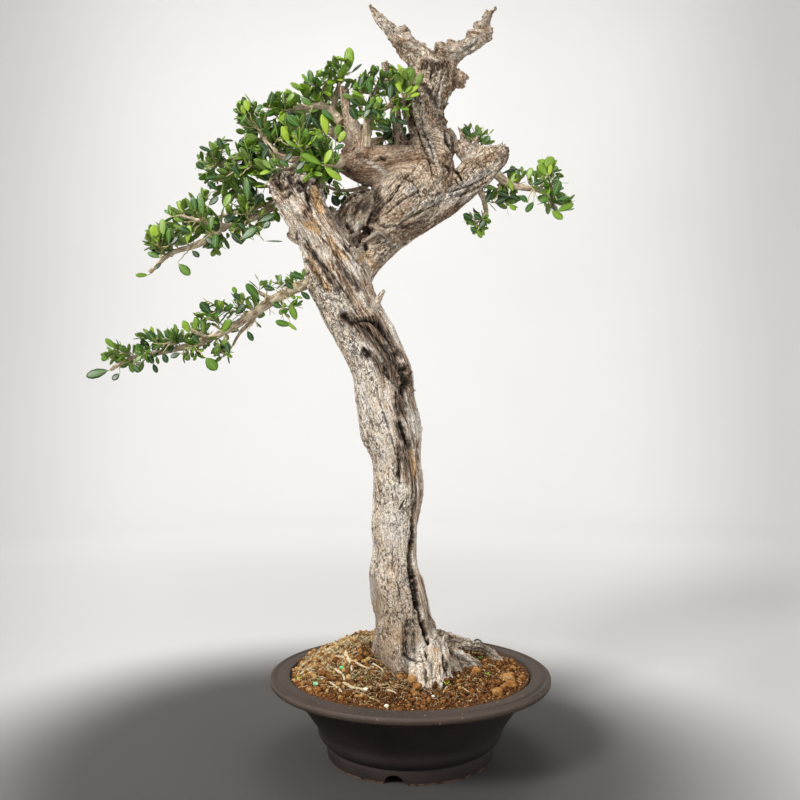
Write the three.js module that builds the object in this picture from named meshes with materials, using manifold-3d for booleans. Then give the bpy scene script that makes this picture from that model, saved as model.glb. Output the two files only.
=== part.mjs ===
// An olive bonsai in a round training pot. Millimetres, +Z up.
// Every place below is written in the pot's own frame: the pot's axis is X = Y = 0 and its foot stands
// on Z = 0. The last lines move the whole group, so that the middle of its box's underside is the origin.

import * as THREE from 'three';
import { mergeVertices } from 'three/addons/utils/BufferGeometryUtils.js';
import Module from 'manifold-3d';

const wasm = await Module();
wasm.setup();
const { Manifold, Mesh } = wasm;

// ---------------------------------------------------------------- driving dimensions

const GAP = 0.5;               // clearance kept between two pieces that touch on the real tree
const ROOT_GAP = 0.9;          // the same between the roots and the soil, whose facets are larger
const MESH_TOLERANCE = 0.22;   // how far a cut solid's surface may move when its facets are thinned out
const LATHE_SIDES = 36;

const RIM_RADIUS = 150;
const RIM_INNER_RADIUS = 129;
const RIM_TOP = 86;
const RIM_BAND = 8;
const FOOT_RADIUS = 89;
const FOOT_INNER_RADIUS = 78;
const FOOT_HEIGHT = 14;
const FLOOR_UNDERSIDE = 5;
const FLOOR_TOP = 12;
const DRAIN_RADIUS = 16;
const WIRE_HOLE_RADIUS = 4;
const WIRE_HOLE = { x: 45, y: -12 };
const NOTCH = { radius: 11.5, drop: 1.5, count: 3, firstAngle: -101 };

const SCREEN = { size: 52, thickness: 1, bars: 6, bar: 2.4 };
const SCREEN_PITCH = (SCREEN.size - SCREEN.bar) / (SCREEN.bars - 1);
const SCREEN_WIRE_RADIUS = 0.7;
const TIE_WIRE_RADIUS = 1;

const SOIL_EDGE = 84;          // soil level at the pot's wall
const SOIL_CROWN = 6;          // even rise of the soil towards the trunk
const MOUND = { x: -50, y: 45, spreadX: 62, spreadY: 50, height: 28 };

// ---------------------------------------------------------------- colours

const finish = (color, roughness) => new THREE.MeshStandardMaterial({ color, roughness, metalness: 0 });
const CLAY = finish('#3a302b', 0.8);
const EARTH = finish('#7a4a30', 0.95);
const BARK = finish('#8a7a68', 0.9);
const YOUNG_BARK = finish('#8f7f63', 0.8);
const LEAVES = finish('#3f6b2a', 0.5);
const WIRE = new THREE.MeshStandardMaterial({ color: '#2f2a26', roughness: 0.5, metalness: 0.6 });
const SCREEN_PLASTIC = finish('#20221f', 0.6);
const PEBBLE = finish('#a57d5a', 0.9);
const PELLET = finish('#b9c4b4', 0.8);

// ---------------------------------------------------------------- helpers

// Turns a closed three.js geometry into a solid that can be joined and cut.
function solidOf(geometry) {
  const bare = geometry.clone();
  for (const name of ['normal', 'uv']) bare.deleteAttribute(name);
  const welded = mergeVertices(bare, 1e-3);
  const vertProperties = Float32Array.from(welded.attributes.position.array);
  const triVerts = Uint32Array.from(welded.index.array);
  return new Manifold(new Mesh({ numProp: 3, vertProperties, triVerts }));
}

// Turns a solid back into a three.js geometry, keeping only its largest connected piece.
function geometryOf(solid) {
  const largest = solid.simplify(MESH_TOLERANCE).decompose().sort((a, b) => b.volume() - a.volume())[0];
  const { vertProperties, triVerts } = largest.getMesh();
  const geometry = new THREE.BufferGeometry();
  geometry.setAttribute('position', new THREE.BufferAttribute(vertProperties, 3));
  geometry.setIndex(new THREE.BufferAttribute(triVerts, 1));
  geometry.computeVertexNormals();
  return geometry;
}

const joined = (solids) => solids.reduce((whole, next) => whole.add(next));
const upright = (geometry) => geometry.rotateX(Math.PI / 2);

// A closed tapering limb through stations [x, y, z, radius]. Its section is widened or narrowed in
// depth by `flat`, and `extra` grows it, for cutting its bed in a neighbour.
function limb(stations, { extra = 0, sides = 8, flat = 1 } = {}) {
  const curve = new THREE.CatmullRomCurve3(stations.map(([x, y, z]) => new THREE.Vector3(x, y, z)));
  const steps = stations.length - 1;
  const tube = new THREE.CylinderGeometry(1, 1, 1, sides, steps);
  const position = tube.attributes.position;
  for (let i = 0; i < position.count; i += 1) {
    const station = Math.round((position.getY(i) + 0.5) * steps);
    const along = curve.getTangent(station / steps);
    const reference = Math.abs(along.y) > 0.85 ? new THREE.Vector3(0, 0, 1) : new THREE.Vector3(0, 1, 0);
    const across = new THREE.Vector3().crossVectors(reference, along).normalize();
    const deep = new THREE.Vector3().crossVectors(along, across);
    const radius = stations[station][3] + extra;
    const place = curve.getPoint(station / steps)
      .addScaledVector(across, -position.getX(i) * radius)
      .addScaledVector(deep, position.getZ(i) * radius * flat);
    if (station === 0) place.addScaledVector(along, -extra);
    if (station === steps) place.addScaledVector(along, extra);
    position.setXYZ(i, place.x, place.y, place.z);
  }
  return solidOf(tube);
}

// A round wire or cord along hand-chosen points.
function wire(points, radius, steps) {
  const circle = new THREE.Shape().absarc(0, 0, radius, 0, 2 * Math.PI, false);
  const extrudePath = new THREE.CatmullRomCurve3(points.map((p) => new THREE.Vector3(...p)));
  return new THREE.ExtrudeGeometry(circle, { curveSegments: 3, steps, bevelEnabled: false, extrudePath });
}

// A lobed envelope from lobes [x, y, z, radius, depth radius].
function envelope(lobes, extra = 0) {
  return joined(lobes.map(([x, y, z, radius, depth]) => {
    const ball = new THREE.SphereGeometry(1, 7, 4);
    ball.scale(radius + extra, depth + extra, 0.95 * radius + extra).translate(x, y, z);
    return solidOf(ball);
  }));
}

const plant = new THREE.Group();

function addPiece(name, geometry, material) {
  const mesh = new THREE.Mesh(geometry, material);
  mesh.name = name;
  plant.add(mesh);
}

// ---------------------------------------------------------------- pot

const OUTER_WALL = [[91, 16], [97.5, 22], [99, 30], [109, 46], [121, 64], [133, 77]];
const INNER_WALL = [[84, FLOOR_TOP], [90, 22], [94, 32], [103, 48], [115, 66], [126, 79]];
const WALL_STEPS = 6;

const curveThrough = (points, steps) => new THREE.SplineCurve(
  points.map(([r, z]) => new THREE.Vector2(r, z))).getPoints(steps);

function pot() {
  const profile = [
    [DRAIN_RADIUS, FLOOR_UNDERSIDE], [FOOT_INNER_RADIUS - 3, FLOOR_UNDERSIDE], [FOOT_INNER_RADIUS, 1],
    [FOOT_INNER_RADIUS + 1, 0], [FOOT_RADIUS - 1, 0], [FOOT_RADIUS, 1], [FOOT_RADIUS + 1, FOOT_HEIGHT - 1],
    [FOOT_RADIUS, FOOT_HEIGHT + 0.5],
    ...curveThrough(OUTER_WALL, WALL_STEPS).map((p) => p.toArray()),
    [RIM_RADIUS - 2, RIM_TOP - RIM_BAND], [RIM_RADIUS, RIM_TOP - RIM_BAND + 1.5], [RIM_RADIUS, RIM_TOP - 1.5],
    [RIM_RADIUS - 1.5, RIM_TOP], [RIM_INNER_RADIUS + 1.5, RIM_TOP], [RIM_INNER_RADIUS, RIM_TOP - 1.5],
    ...curveThrough(INNER_WALL, WALL_STEPS).map((p) => p.toArray()).reverse(),
    [DRAIN_RADIUS, FLOOR_TOP], [DRAIN_RADIUS, FLOOR_UNDERSIDE],
  ].map(([r, z]) => new THREE.Vector2(r, z));
  let body = solidOf(upright(new THREE.LatheGeometry(profile, LATHE_SIDES)));

  for (let i = 0; i < NOTCH.count; i += 1) {
    const angle = THREE.MathUtils.degToRad(NOTCH.firstAngle + i * 360 / NOTCH.count);
    const cutter = new THREE.CylinderGeometry(NOTCH.radius, NOTCH.radius, 30, 16);
    cutter.rotateZ(Math.PI / 2).translate(FOOT_RADIUS - 4, 0, -NOTCH.drop).rotateZ(angle);
    body = body.subtract(solidOf(cutter));
  }
  for (const side of [-1, 1]) {
    const drill = upright(new THREE.CylinderGeometry(WIRE_HOLE_RADIUS, WIRE_HOLE_RADIUS, 20, 12));
    drill.translate(side * WIRE_HOLE.x, WIRE_HOLE.y, FLOOR_UNDERSIDE);
    body = body.subtract(solidOf(drill));
  }
  return body;
}

// ---------------------------------------------------------------- drain screen and wires

function screenPlate(extra = 0) {
  const side = SCREEN.size + 2 * extra;
  const plate = new THREE.BoxGeometry(side, side, SCREEN.thickness + 2 * extra);
  return solidOf(plate.translate(0, 0, FLOOR_TOP + GAP + SCREEN.thickness / 2));
}

function drainScreen() {
  const opening = SCREEN_PITCH - SCREEN.bar;
  const firstMiddle = -(SCREEN.bars - 2) * SCREEN_PITCH / 2;
  const openings = [];
  for (let row = 0; row < SCREEN.bars - 1; row += 1) {
    for (let column = 0; column < SCREEN.bars - 1; column += 1) {
      const punch = new THREE.BoxGeometry(opening, opening, 10 * SCREEN.thickness);
      punch.translate(firstMiddle + column * SCREEN_PITCH, firstMiddle + row * SCREEN_PITCH, FLOOR_TOP);
      openings.push(solidOf(punch));
    }
  }
  return screenPlate().subtract(joined(openings));
}

// The clip's legs pass through the screen's openings and bend outwards under the floor.
const CLIP_TOP = FLOOR_TOP + GAP + SCREEN.thickness + 1.1;
const SCREEN_CLIP = { leg: SCREEN_PITCH, top: CLIP_TOP, spread: 24, low: 3.2 };

function screenWire(radius) {
  const { leg, top, spread, low } = SCREEN_CLIP;
  const half = [[0, 0, top], [leg - 2, 0, top], [leg, 0, top - 2], [leg, 0, low + 3], [leg + 2, 0, low + 0.4],
    [spread, 0, low]];
  const mirrored = half.slice(1).reverse().map(([x, y, z]) => [-x, y, z]);
  return wire([...mirrored, ...half], radius, 24);
}

// From the soil at the trunk's left, down through one hole, under the floor, up through the other
// hole and over the exposed root at the right.
const TIE_WIRE_ROUTE = [
  [-62, 44, 116], [-60, 37, 104], [-58, 16, 62], [-46, -10, 22], [-45, -12, 13], [-45, -12, 6],
  [-42, -12, 3], [-20, -12, 2.7], [20, -12, 2.7], [42, -12, 3], [45, -12, 6], [45, -12, 13], [52, -6, 26],
  [74, 20, 60], [84, 33, 84], [85, 34, 96], [82, 38, 104.5], [78, 43, 107.5], [74, 48, 105], [71, 52, 97],
  [70, 54, 84],
];
const tieDownWire = (radius) => wire(TIE_WIRE_ROUTE, radius, 54);

// ---------------------------------------------------------------- trunk: wood, roots and deadwood

const TRUNK_FLATNESS = 0.88;

const TRUNK = [
  [4, 2, 58, 24], [3, 0, 84, 33], [-2, 0, 112, 34.5], [-8, 2, 137, 29.5], [-11, 4, 162, 28.5],
  [-17, 6, 183, 29], [-17, 8, 214, 24.5], [-17, 9, 246, 26], [-13, 9, 279, 27.5], [-15, 8, 312, 27.5],
  [-20, 6, 343, 34], [-28, 4, 379, 32.5], [-32, 1, 412, 33], [-48, -2, 445, 32], [-65, -5, 477, 33],
  [-79, -8, 510, 34], [-88, -11, 534, 29.5], [-98, -14, 555, 24], [-108, -17, 573, 23.5],
  [-118, -20, 592, 26], [-126, -23, 610, 28], [-127, -24, 622, 25],
];

const TRUNK_LIMBS = {
  strap: [[-75, 2, 495, 24], [-58, 10, 527, 22], [-32, 15, 560, 21], [2, 18, 582, 19], [39, 18, 605, 17.5],
    [60, 17, 624, 18.5], [78, 15, 641, 20], [97, 13, 655, 15.5], [107, 12, 664, 8.5]],
  hub: [[-43, 14, 566, 25], [-13, 18, 600, 37], [16, 20, 631, 35], [25, 20, 664, 25]],
  upright: [[16, 20, 633, 30], [23, 20, 666, 25], [21, 19, 691, 21.5], [15, 18, 715, 24], [20, 18, 733, 25],
    [27, 18, 752, 28], [25, 18, 766, 20]],
  leftJin: [[21, 18, 762, 17], [5, 17, 777, 15.5], [-10, 15, 792, 12.5], [-24, 13, 805, 9],
    [-36, 11, 819, 6], [-46, 9, 831, 2.6]],
  rightJin: [[35, 18, 758, 18], [49, 19, 777, 12.5], [67, 21, 787, 10.5], [84, 24, 801, 9.5], [87, 26, 814, 7.5],
    [94, 28, 828, 4.6], [102, 30, 840, 2]],
  topStub: [[37, 18, 764, 10], [36, 18, 779, 7.5], [35, 18, 789, 4.5]],
  crownSpur: [[36, 18, 746, 15], [50, 16, 746, 11], [60, 15, 745, 9.5], [65, 15, 744, 6]],
  armStump: [[80, 15, 650, 14], [68, 15, 657, 11.5], [60, 15, 667, 10], [58, 15, 675, 6.5]],
  armSpike: [[62, 12, 664, 3.8], [61, 10, 674, 3], [58, 9, 682, 2.2], [55, 8, 688, 1]],
  backSlab: [[42, 24, 662, 9], [47, 26, 680, 7], [45, 26, 692, 3]],
  leftLimb: [[17, 18, 640, 27], [-11, 14, 644, 24.5], [-39, 10, 643, 23], [-61, 8, 648, 20.5],
    [-77, 6, 651, 15]],
  cutBranch: [[-57, 8, 659, 17], [-64, 4, 684, 9.5], [-71, 0, 706, 6.2], [-74, -3, 728, 5.6]],
  backStub: [[-2, 26, 659, 10.5], [-12, 32, 692, 7], [-19, 36, 731, 6.4], [-28, 40, 774, 6]],
  rottenLobe: [[-74, 6, 552, 16], [-74, 8, 578, 13.5], [-65, 8, 596, 11.5], [-54, 8, 606, 9.5],
    [-43, 8, 613, 6.5]],
  rottenEdge: [[-91, 0, 560, 10], [-88, 0, 580, 7], [-90, 2, 596, 4]],
  stubTip: [[-118, -20, 606, 9], [-128, -20, 620, 8], [-131, -20, 631, 3]],
  burl: [[-109, -14, 553, 8], [-119, -16, 556, 8.5], [-127, -16, 559, 8], [-134, -16, 562, 4.5]],
  spike: [[-48, -12, 464, 9], [-38, -20, 481, 5.5], [-28, -23, 496, 2.6]],
};

const ROOTS = {
  white: [[20, -14, 112, 19], [21, -34, 98, 15], [21, -52, 87, 11.5], [19, -70, 78, 7.5], [16, -84, 66, 4]],
  whiteLeft: [[8, -16, 108, 15], [6, -32, 94, 11], [5, -46, 80, 7], [4, -54, 68, 4]],
  whiteRight: [[28, -8, 120, 12], [33, -26, 102, 10], [34, -42, 88, 8], [34, -56, 72, 4]],
  fork: [[26, -16, 100, 9], [40, -36, 84, 6], [50, -46, 70, 3]],
  arch: [[24, 2, 110, 14], [42, 0, 101, 11], [58, 4, 94, 9], [72, 12, 88, 7], [82, 20, 78, 4]],
  right: [[30, 2, 116, 14], [50, 16, 110, 8.5], [66, 33, 104, 6.5], [84, 47, 96, 6], [101, 42, 85, 5],
    [108, 30, 70, 3]],
  left: [[-24, 6, 121, 16], [-36, 12, 97, 10], [-50, 16, 76, 5]],
  back: [[0, 14, 112, 16], [-6, 46, 98, 9], [-14, 72, 84, 6], [-20, 88, 68, 4]],
  front: [[-10, -8, 84, 16], [-36, -40, 70, 8], [-52, -56, 56, 4]],
};

function trunk(extra = 0) {
  const flat = TRUNK_FLATNESS;
  return joined([
    limb(TRUNK, { extra, sides: 12, flat }),
    ...Object.values(TRUNK_LIMBS).map((stations) => limb(stations, { extra, flat })),
    ...Object.values(ROOTS).map((stations) => limb(stations, { extra, sides: 6 })),
  ]);
}

// ---------------------------------------------------------------- live branches

const BRANCHES = {
  lower_left_branch: [
    [[-108, -7, 509, 6.2], [-132, -12, 497, 5.5], [-153, -16, 484, 5.2], [-179, -20, 465, 4.3],
      [-205, -22, 449, 3.8], [-237, -24, 436, 3.2], [-269, -25, 428, 2.7], [-297, -26, 423, 2.4],
      [-321, -28, 409, 1.6]],
    [[-161, -18, 479, 3], [-175, -10, 463, 2.2], [-187, -6, 452, 2], [-195, -4, 439, 1.5]],
    [[-151, -16, 486, 3], [-160, -24, 492, 2], [-172, -30, 497, 1.5]],
    [[-217, -23, 443, 3], [-228, -36, 449, 2], [-241, -42, 454, 1.5]],
  ],
  upper_left_branch: [
    [[-84, 6, 641, 7.5], [-110, 8, 623, 6], [-135, 6, 606, 4.9], [-154, 0, 593, 4.3], [-177, -8, 578, 3.9],
      [-203, -14, 568, 3.5], [-229, -18, 548, 3.1], [-260, -22, 536, 2.7], [-281, -25, 515, 2]],
    [[-126, 8, 612, 4], [-156, 8, 601, 2.8], [-176, 6, 595, 2.5], [-198, 4, 588, 2.1], [-216, 2, 583, 1.7]],
    [[-199, -14, 568, 3.2], [-222, -24, 570, 2.4], [-248, -30, 576, 1.7]],
  ],
  crown_left_branch: [
    [[-86, 2, 653, 7.5], [-103, 0, 654, 6.7], [-131, -4, 648, 5.6], [-161, -6, 654, 4.4],
      [-189, -4, 648, 3.3], [-215, 0, 641, 2.2]],
    [[-146, -5, 650, 4], [-166, 4, 677, 2.9], [-177, 10, 703, 2]],
  ],
  crown_front_branch: [
    [[-76, -11, 643, 6.7], [-88, -22, 635, 5.4], [-106, -34, 633, 4.3], [-129, -38, 625, 3.2],
      [-150, -36, 613, 2.1]],
  ],
  crown_top_branch: [
    [[-77, 5, 692, 5.6], [-86, 6, 702, 4.8], [-100, 8, 712, 4], [-125, 10, 711, 2.9], [-147, 8, 705, 2]],
    [[-88, 6, 704, 4], [-84, 6, 722, 2.9], [-79, 6, 741, 2], [-70, 2, 762, 1.4]],
  ],
  crown_right_branch: [
    [[-50, -3, 661, 6], [-48, -9, 674, 5], [-46, -12, 690, 4], [-27, -16, 700, 3.1], [-7, -20, 708, 2.2],
      [2, -24, 716, 1.5]],
    [[-47, -12, 688, 3.2], [-42, -9, 712, 2.2], [-36, -7, 731, 1.6]],
  ],
  crown_back_branch: [
    [[-54, 25, 670, 7.5], [-67, 38, 682, 6.4], [-90, 56, 701, 5.4], [-117, 68, 713, 3.6]],
    [[-62, 34, 678, 4.6], [-46, 48, 686, 4], [-23, 58, 696, 2.9]],
    [[-54, 25, 668, 5], [-49, 35, 650, 4], [-48, 36, 632, 3.4], [-60, 33, 625, 2.6], [-78, 30, 622, 2],
      [-100, 30, 628, 1.6]],
  ],
  right_branch: [
    [[97, 16, 638, 5.5], [108, 20, 630, 4.8], [120, 22, 625, 4.1], [134, 24, 623, 3.7], [150, 26, 621, 3],
      [161, 24, 609, 2.3], [168, 22, 592, 1.6]],
    [[148, 26, 621, 3], [158, 28, 636, 1.8], [163, 30, 651, 1.4]],
  ],
  lower_right_twig: [
    [[78, 24, 626, 4], [85, 33, 615, 3.4], [88, 37, 604, 3], [88, 34, 595, 2.5], [78, 30, 585, 1.6]],
  ],
  arm_twig: [
    [[88, 20, 660, 3.6], [86, 28, 665, 3], [80, 33, 675, 2.3], [75, 35, 684, 1.6]],
  ],
};

const BRANCH_BED = 0.5;   // a branch meets the trunk in a bed cut this much wider than its own section

const branch = (routes, extra = 0) => joined(routes.map((stations) => limb(stations, { extra, sides: 6 })));

// ---------------------------------------------------------------- foliage, one pad to a spray

const FOLIAGE = {
  foliage_lower_left_tip: [[-334, -28, 406, 13, 14], [-313, -27, 428, 16, 22], [-298, -20, 421, 16, 24],
    [-276, -30, 434, 20, 26], [-313, -30, 403, 9, 10]],
  foliage_lower_left_middle: [[-247, -28, 440, 21, 30], [-230, -16, 446, 20, 32], [-234, -34, 428, 15, 20],
    [-224, -30, 468, 13, 16]],
  foliage_lower_left_inner: [[-205, -26, 461, 24, 30], [-203, -12, 434, 16, 20], [-182, -14, 481, 22, 28]],
  foliage_lower_left_base: [[-154, -24, 486, 18, 22], [-134, -14, 498, 20, 20], [-170, -20, 499, 14, 16],
    [-132, -14, 477, 15, 15], [-121, -8, 512, 11, 11]],
  foliage_upper_left_tip: [[-284, -28, 519, 14, 18], [-268, -24, 549, 20, 24], [-246, -30, 527, 15, 18]],
  foliage_upper_left_middle: [[-246, -16, 571, 25, 32], [-222, -28, 581, 24, 30], [-216, -8, 556, 18, 24]],
  foliage_upper_left_inner: [[-187, -14, 575, 22, 24], [-179, 2, 598, 20, 24], [-158, -6, 583, 16, 18],
    [-176, -18, 560, 13, 14]],
  foliage_crown_far_left: [[-222, 6, 643, 20, 26], [-206, 12, 623, 23, 28], [-208, 0, 657, 15, 22]],
  foliage_crown_left_top: [[-181, 8, 704, 18, 26], [-175, 16, 683, 23, 32]],
  foliage_crown_left_front: [[-173, -20, 637, 24, 30], [-146, -32, 615, 22, 26]],
  foliage_crown_middle: [[-140, 12, 705, 25, 38], [-139, 0, 674, 26, 32], [-98, -20, 690, 20, 20]],
  foliage_crown_front: [[-108, -36, 645, 26, 26], [-90, -38, 626, 18, 20], [-112, -32, 619, 17, 22],
    [-82, -30, 672, 15, 18]],
  foliage_crown_top: [[-73, 0, 762, 12, 12], [-79, 0, 742, 20, 28], [-106, 6, 728, 21, 30]],
  foliage_crown_top_right: [[-42, -8, 728, 20, 26], [-16, -20, 727, 18, 22], [2, -26, 724, 13, 16],
    [-58, -12, 712, 16, 18]],
  foliage_crown_right: [[-37, -20, 691, 20, 20], [-12, -24, 699, 15, 16]],
  foliage_crown_back: [[-88, 58, 719, 32, 30], [-124, 68, 711, 33, 32]],
  foliage_crown_back_right: [[-23, 60, 699, 20, 20], [-50, 50, 694, 18, 20], [0, 58, 690, 17, 15]],
  foliage_behind_stub: [[-98, 30, 625, 15, 15], [-77, 30, 617, 14, 14], [-117, 24, 633, 14, 15]],
  foliage_right_tip: [[165, 22, 612, 23, 26], [160, 30, 644, 16, 20], [148, 24, 629, 16, 18],
    [168, 18, 600, 16, 16]],
  foliage_right_inner: [[120, 30, 636, 15, 16], [112, 36, 614, 16, 20], [94, 34, 621, 13, 14]],
  foliage_lower_right: [[78, 29, 585, 15, 17]],
  foliage_arm_top: [[71, 36, 690, 13, 14], [86, 36, 688, 11, 12]],
};
const TWIG_CLEARANCE = 0.6;

// ---------------------------------------------------------------- soil and what lies on it

function soilTop(x, y) {
  const dome = 1 - (x * x + y * y) / RIM_INNER_RADIUS ** 2;
  const across = (x - MOUND.x) / MOUND.spreadX;
  const deep = (y - MOUND.y) / MOUND.spreadY;
  const mound = MOUND.height * dome ** 0.3 * Math.exp(-across * across - deep * deep);
  return SOIL_EDGE + SOIL_CROWN * dome + mound;
}

function soil() {
  const wall = curveThrough(INNER_WALL, WALL_STEPS)
    .map(({ x, y }) => [x - GAP, Math.max(y, FLOOR_TOP + GAP)]);
  const top = [125.5, 102, 78, 54, 30, 0].map((r) => [r, SOIL_EDGE]);
  const profile = [[0, FLOOR_TOP + GAP], ...wall, ...top].map(([r, z]) => new THREE.Vector2(r, z));
  const bed = upright(new THREE.LatheGeometry(profile, LATHE_SIDES));
  const position = bed.attributes.position;
  for (let i = 0; i < position.count; i += 1) {
    if (position.getZ(i) > SOIL_EDGE - 0.01) {
      position.setZ(i, soilTop(position.getX(i), position.getY(i)));
    }
  }
  return solidOf(bed);
}

const STONES = [[85, -80, 6], [101, -34, 6], [101, -56, 6.5], [70, -18, 5.5], [1, -52, 5], [6, -72, 5.5]];
const PELLETS = [[-73, -19, 3.2], [-45, -77, 3], [-24, -118, 3], [-97, -54, 3.2]];

function stone([x, y, size], extra = 0) {
  const rock = new THREE.IcosahedronGeometry(1, 1);
  rock.scale(size + extra, 0.85 * size + extra, 0.7 * size + extra).rotateZ(x);
  return solidOf(rock.translate(x, y, soilTop(x, y) + 0.3 * size));
}

function pellet([x, y, size], extra = 0) {
  const ball = new THREE.IcosahedronGeometry(size + extra, 1);
  return solidOf(ball.translate(x, y, soilTop(x, y) + 0.4 * size));
}

// ---------------------------------------------------------------- assembly

addPiece('pot', geometryOf(pot()), CLAY);
addPiece('drain_screen', geometryOf(drainScreen()), SCREEN_PLASTIC);
addPiece('screen_wire', screenWire(SCREEN_WIRE_RADIUS), WIRE);
addPiece('tie_down_wire', tieDownWire(TIE_WIRE_RADIUS), WIRE);

const branchBeds = Object.values(BRANCHES).map((routes) => branch(routes, BRANCH_BED));
addPiece('trunk', geometryOf(trunk().subtract(joined(branchBeds))), BARK);

Object.entries(BRANCHES).forEach(([name, routes], i) => {
  const clear = branchBeds.slice(0, i).reduce((left, bed) => left.subtract(bed), branch(routes));
  addPiece(name, geometryOf(clear), YOUNG_BARK);
});

let taken = joined([trunk(TWIG_CLEARANCE), ...Object.values(BRANCHES).map((r) => branch(r, TWIG_CLEARANCE))]);
for (const [name, lobes] of Object.entries(FOLIAGE)) {
  addPiece(name, geometryOf(envelope(lobes).subtract(taken)), LEAVES);
  taken = taken.add(envelope(lobes, TWIG_CLEARANCE));
}

const inSoil = [
  trunk(ROOT_GAP),
  screenPlate(GAP),
  solidOf(tieDownWire(TIE_WIRE_RADIUS + GAP)),
  solidOf(screenWire(SCREEN_WIRE_RADIUS + GAP)),
  ...STONES.map((place) => stone(place, GAP)),
  ...PELLETS.map((place) => pellet(place, GAP)),
];
addPiece('soil', geometryOf(soil().subtract(joined(inSoil))), EARTH);
STONES.forEach((place, i) => addPiece(`surface_stone_${i + 1}`, geometryOf(stone(place)), PEBBLE));
PELLETS.forEach((place, i) => addPiece(`fertiliser_pellet_${i + 1}`, geometryOf(pellet(place)), PELLET));

// The middle of the box's underside becomes the origin.
const bounds = new THREE.Box3().setFromObject(plant);
const middle = bounds.getCenter(new THREE.Vector3());
plant.position.set(-middle.x, -middle.y, -bounds.min.z);

export default plant;
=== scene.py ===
# %% [markdown]
# # An olive bonsai in a round clay pot
# The tree has a tall, bending trunk, a crown of bleached dead wood and a few live branches with small
# leathery leaves. It grows in baked clay granules in an unglazed pot. The packed model is loaded first.
# It fixes where every piece goes and is never moved. All the modelling below is written in millimetres
# from the pot's own axis and foot, as a maker would measure it, and is moved to its place at the end.

# %% Load the frame
import math

import bpy
import numpy as np
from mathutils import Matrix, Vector
from mathutils.bvhtree import BVHTree

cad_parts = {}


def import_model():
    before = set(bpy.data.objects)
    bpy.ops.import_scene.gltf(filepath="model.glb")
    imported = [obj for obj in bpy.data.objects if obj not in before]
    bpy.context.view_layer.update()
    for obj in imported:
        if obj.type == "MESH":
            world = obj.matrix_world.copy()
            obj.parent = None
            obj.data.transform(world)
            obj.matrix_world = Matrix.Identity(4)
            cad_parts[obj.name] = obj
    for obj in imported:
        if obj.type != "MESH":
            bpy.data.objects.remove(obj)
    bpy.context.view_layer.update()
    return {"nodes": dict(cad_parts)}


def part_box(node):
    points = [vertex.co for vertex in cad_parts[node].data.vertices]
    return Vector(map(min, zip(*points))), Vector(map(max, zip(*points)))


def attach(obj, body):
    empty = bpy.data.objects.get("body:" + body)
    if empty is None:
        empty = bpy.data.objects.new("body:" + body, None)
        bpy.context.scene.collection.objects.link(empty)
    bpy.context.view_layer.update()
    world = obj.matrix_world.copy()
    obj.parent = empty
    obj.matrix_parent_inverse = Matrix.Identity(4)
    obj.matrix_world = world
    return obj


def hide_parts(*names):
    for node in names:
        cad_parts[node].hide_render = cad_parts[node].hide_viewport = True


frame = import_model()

MM = 0.001
BODY = "root"
pot_low, pot_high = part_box("pot")
POT_AXIS = np.array([(pot_low.x + pot_high.x) / 2, (pot_low.y + pot_high.y) / 2, 0.0])
print("the pot's axis stands at", POT_AXIS.round(4), "m")


def world(points):
    """From millimetres in the pot's frame to metres in the model's frame."""
    return np.asarray(points, float) * MM + POT_AXIS


# %% [markdown]
# Two habits keep the operators honest. An operator works on everything that is selected, so the
# selection is emptied before each new piece. And a finished piece rides on the plant's one body, wears
# the finish that it is given, and hides the plain solid that it stands for.

# %% Selecting and handing over
def deselect():
    if bpy.context.object and bpy.context.object.mode != "OBJECT":
        bpy.ops.object.mode_set(mode="OBJECT")
    for thing in bpy.context.selected_objects:
        thing.select_set(False)


def activate(piece):
    deselect()
    piece.select_set(True)
    bpy.context.view_layer.objects.active = piece


def edit(piece, selected="SELECT"):
    """Opens the piece in edit mode with everything selected, or with "DESELECT" nothing."""
    activate(piece)
    bpy.ops.object.mode_set(mode="EDIT")
    bpy.ops.mesh.select_all(action=selected)


def apply_modifiers(piece):
    activate(piece)
    for modifier in list(piece.modifiers):
        bpy.ops.object.modifier_apply(modifier=modifier.name)


def triangles(piece):
    return sum(len(face.vertices) - 2 for face in piece.data.polygons)


def settle(piece, finish, stands_for=()):
    """Puts the place in the mesh and hands the piece over to the frame."""
    activate(piece)
    bpy.ops.object.transform_apply(location=True, rotation=True, scale=True)
    piece.data.materials.clear()
    piece.data.materials.append(finish.material)
    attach(piece, BODY)
    if stands_for:
        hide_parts(*stands_for)
    print(f"{piece.name}: {triangles(piece)} triangles")
    return piece


# %% [markdown]
# Thousands of points are shaped at once here, so a mesh is read and written as one table of points, in
# millimetres from the pot's axis. What a finish has to know at each point, such as the run of the grain
# or the shade of a granule, is stored beside them as a named attribute.

# %% Meshes as tables of points
def mesh_piece(name, points, faces):
    """A smooth-shaded mesh from points in millimetres in the pot's frame."""
    mesh = bpy.data.meshes.new(name)
    mesh.from_pydata(world(points).tolist(), [], [list(map(int, face)) for face in faces])
    mesh.polygons.foreach_set("use_smooth", np.ones(len(mesh.polygons), bool))
    piece = bpy.data.objects.new(name, mesh)
    bpy.context.scene.collection.objects.link(piece)
    return piece


def read_points(piece, what="co"):
    """The points of a mesh in millimetres in the pot's frame, or its normals."""
    flat = np.empty(len(piece.data.vertices) * 3, np.float32)
    piece.data.vertices.foreach_get(what, flat)
    rows = flat.reshape(-1, 3).astype(float)
    return rows if what == "normal" else (rows - POT_AXIS) / MM


def move_points(piece, points):
    piece.data.vertices.foreach_set("co", world(points).ravel().astype(np.float32))
    piece.data.update()


def write_attribute(piece, name, values, kind="FLOAT"):
    layer = piece.data.attributes.new(name, kind, "POINT")
    key = "value" if kind == "FLOAT" else "vector"
    layer.data.foreach_set(key, np.asarray(values, np.float32).ravel())


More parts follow.
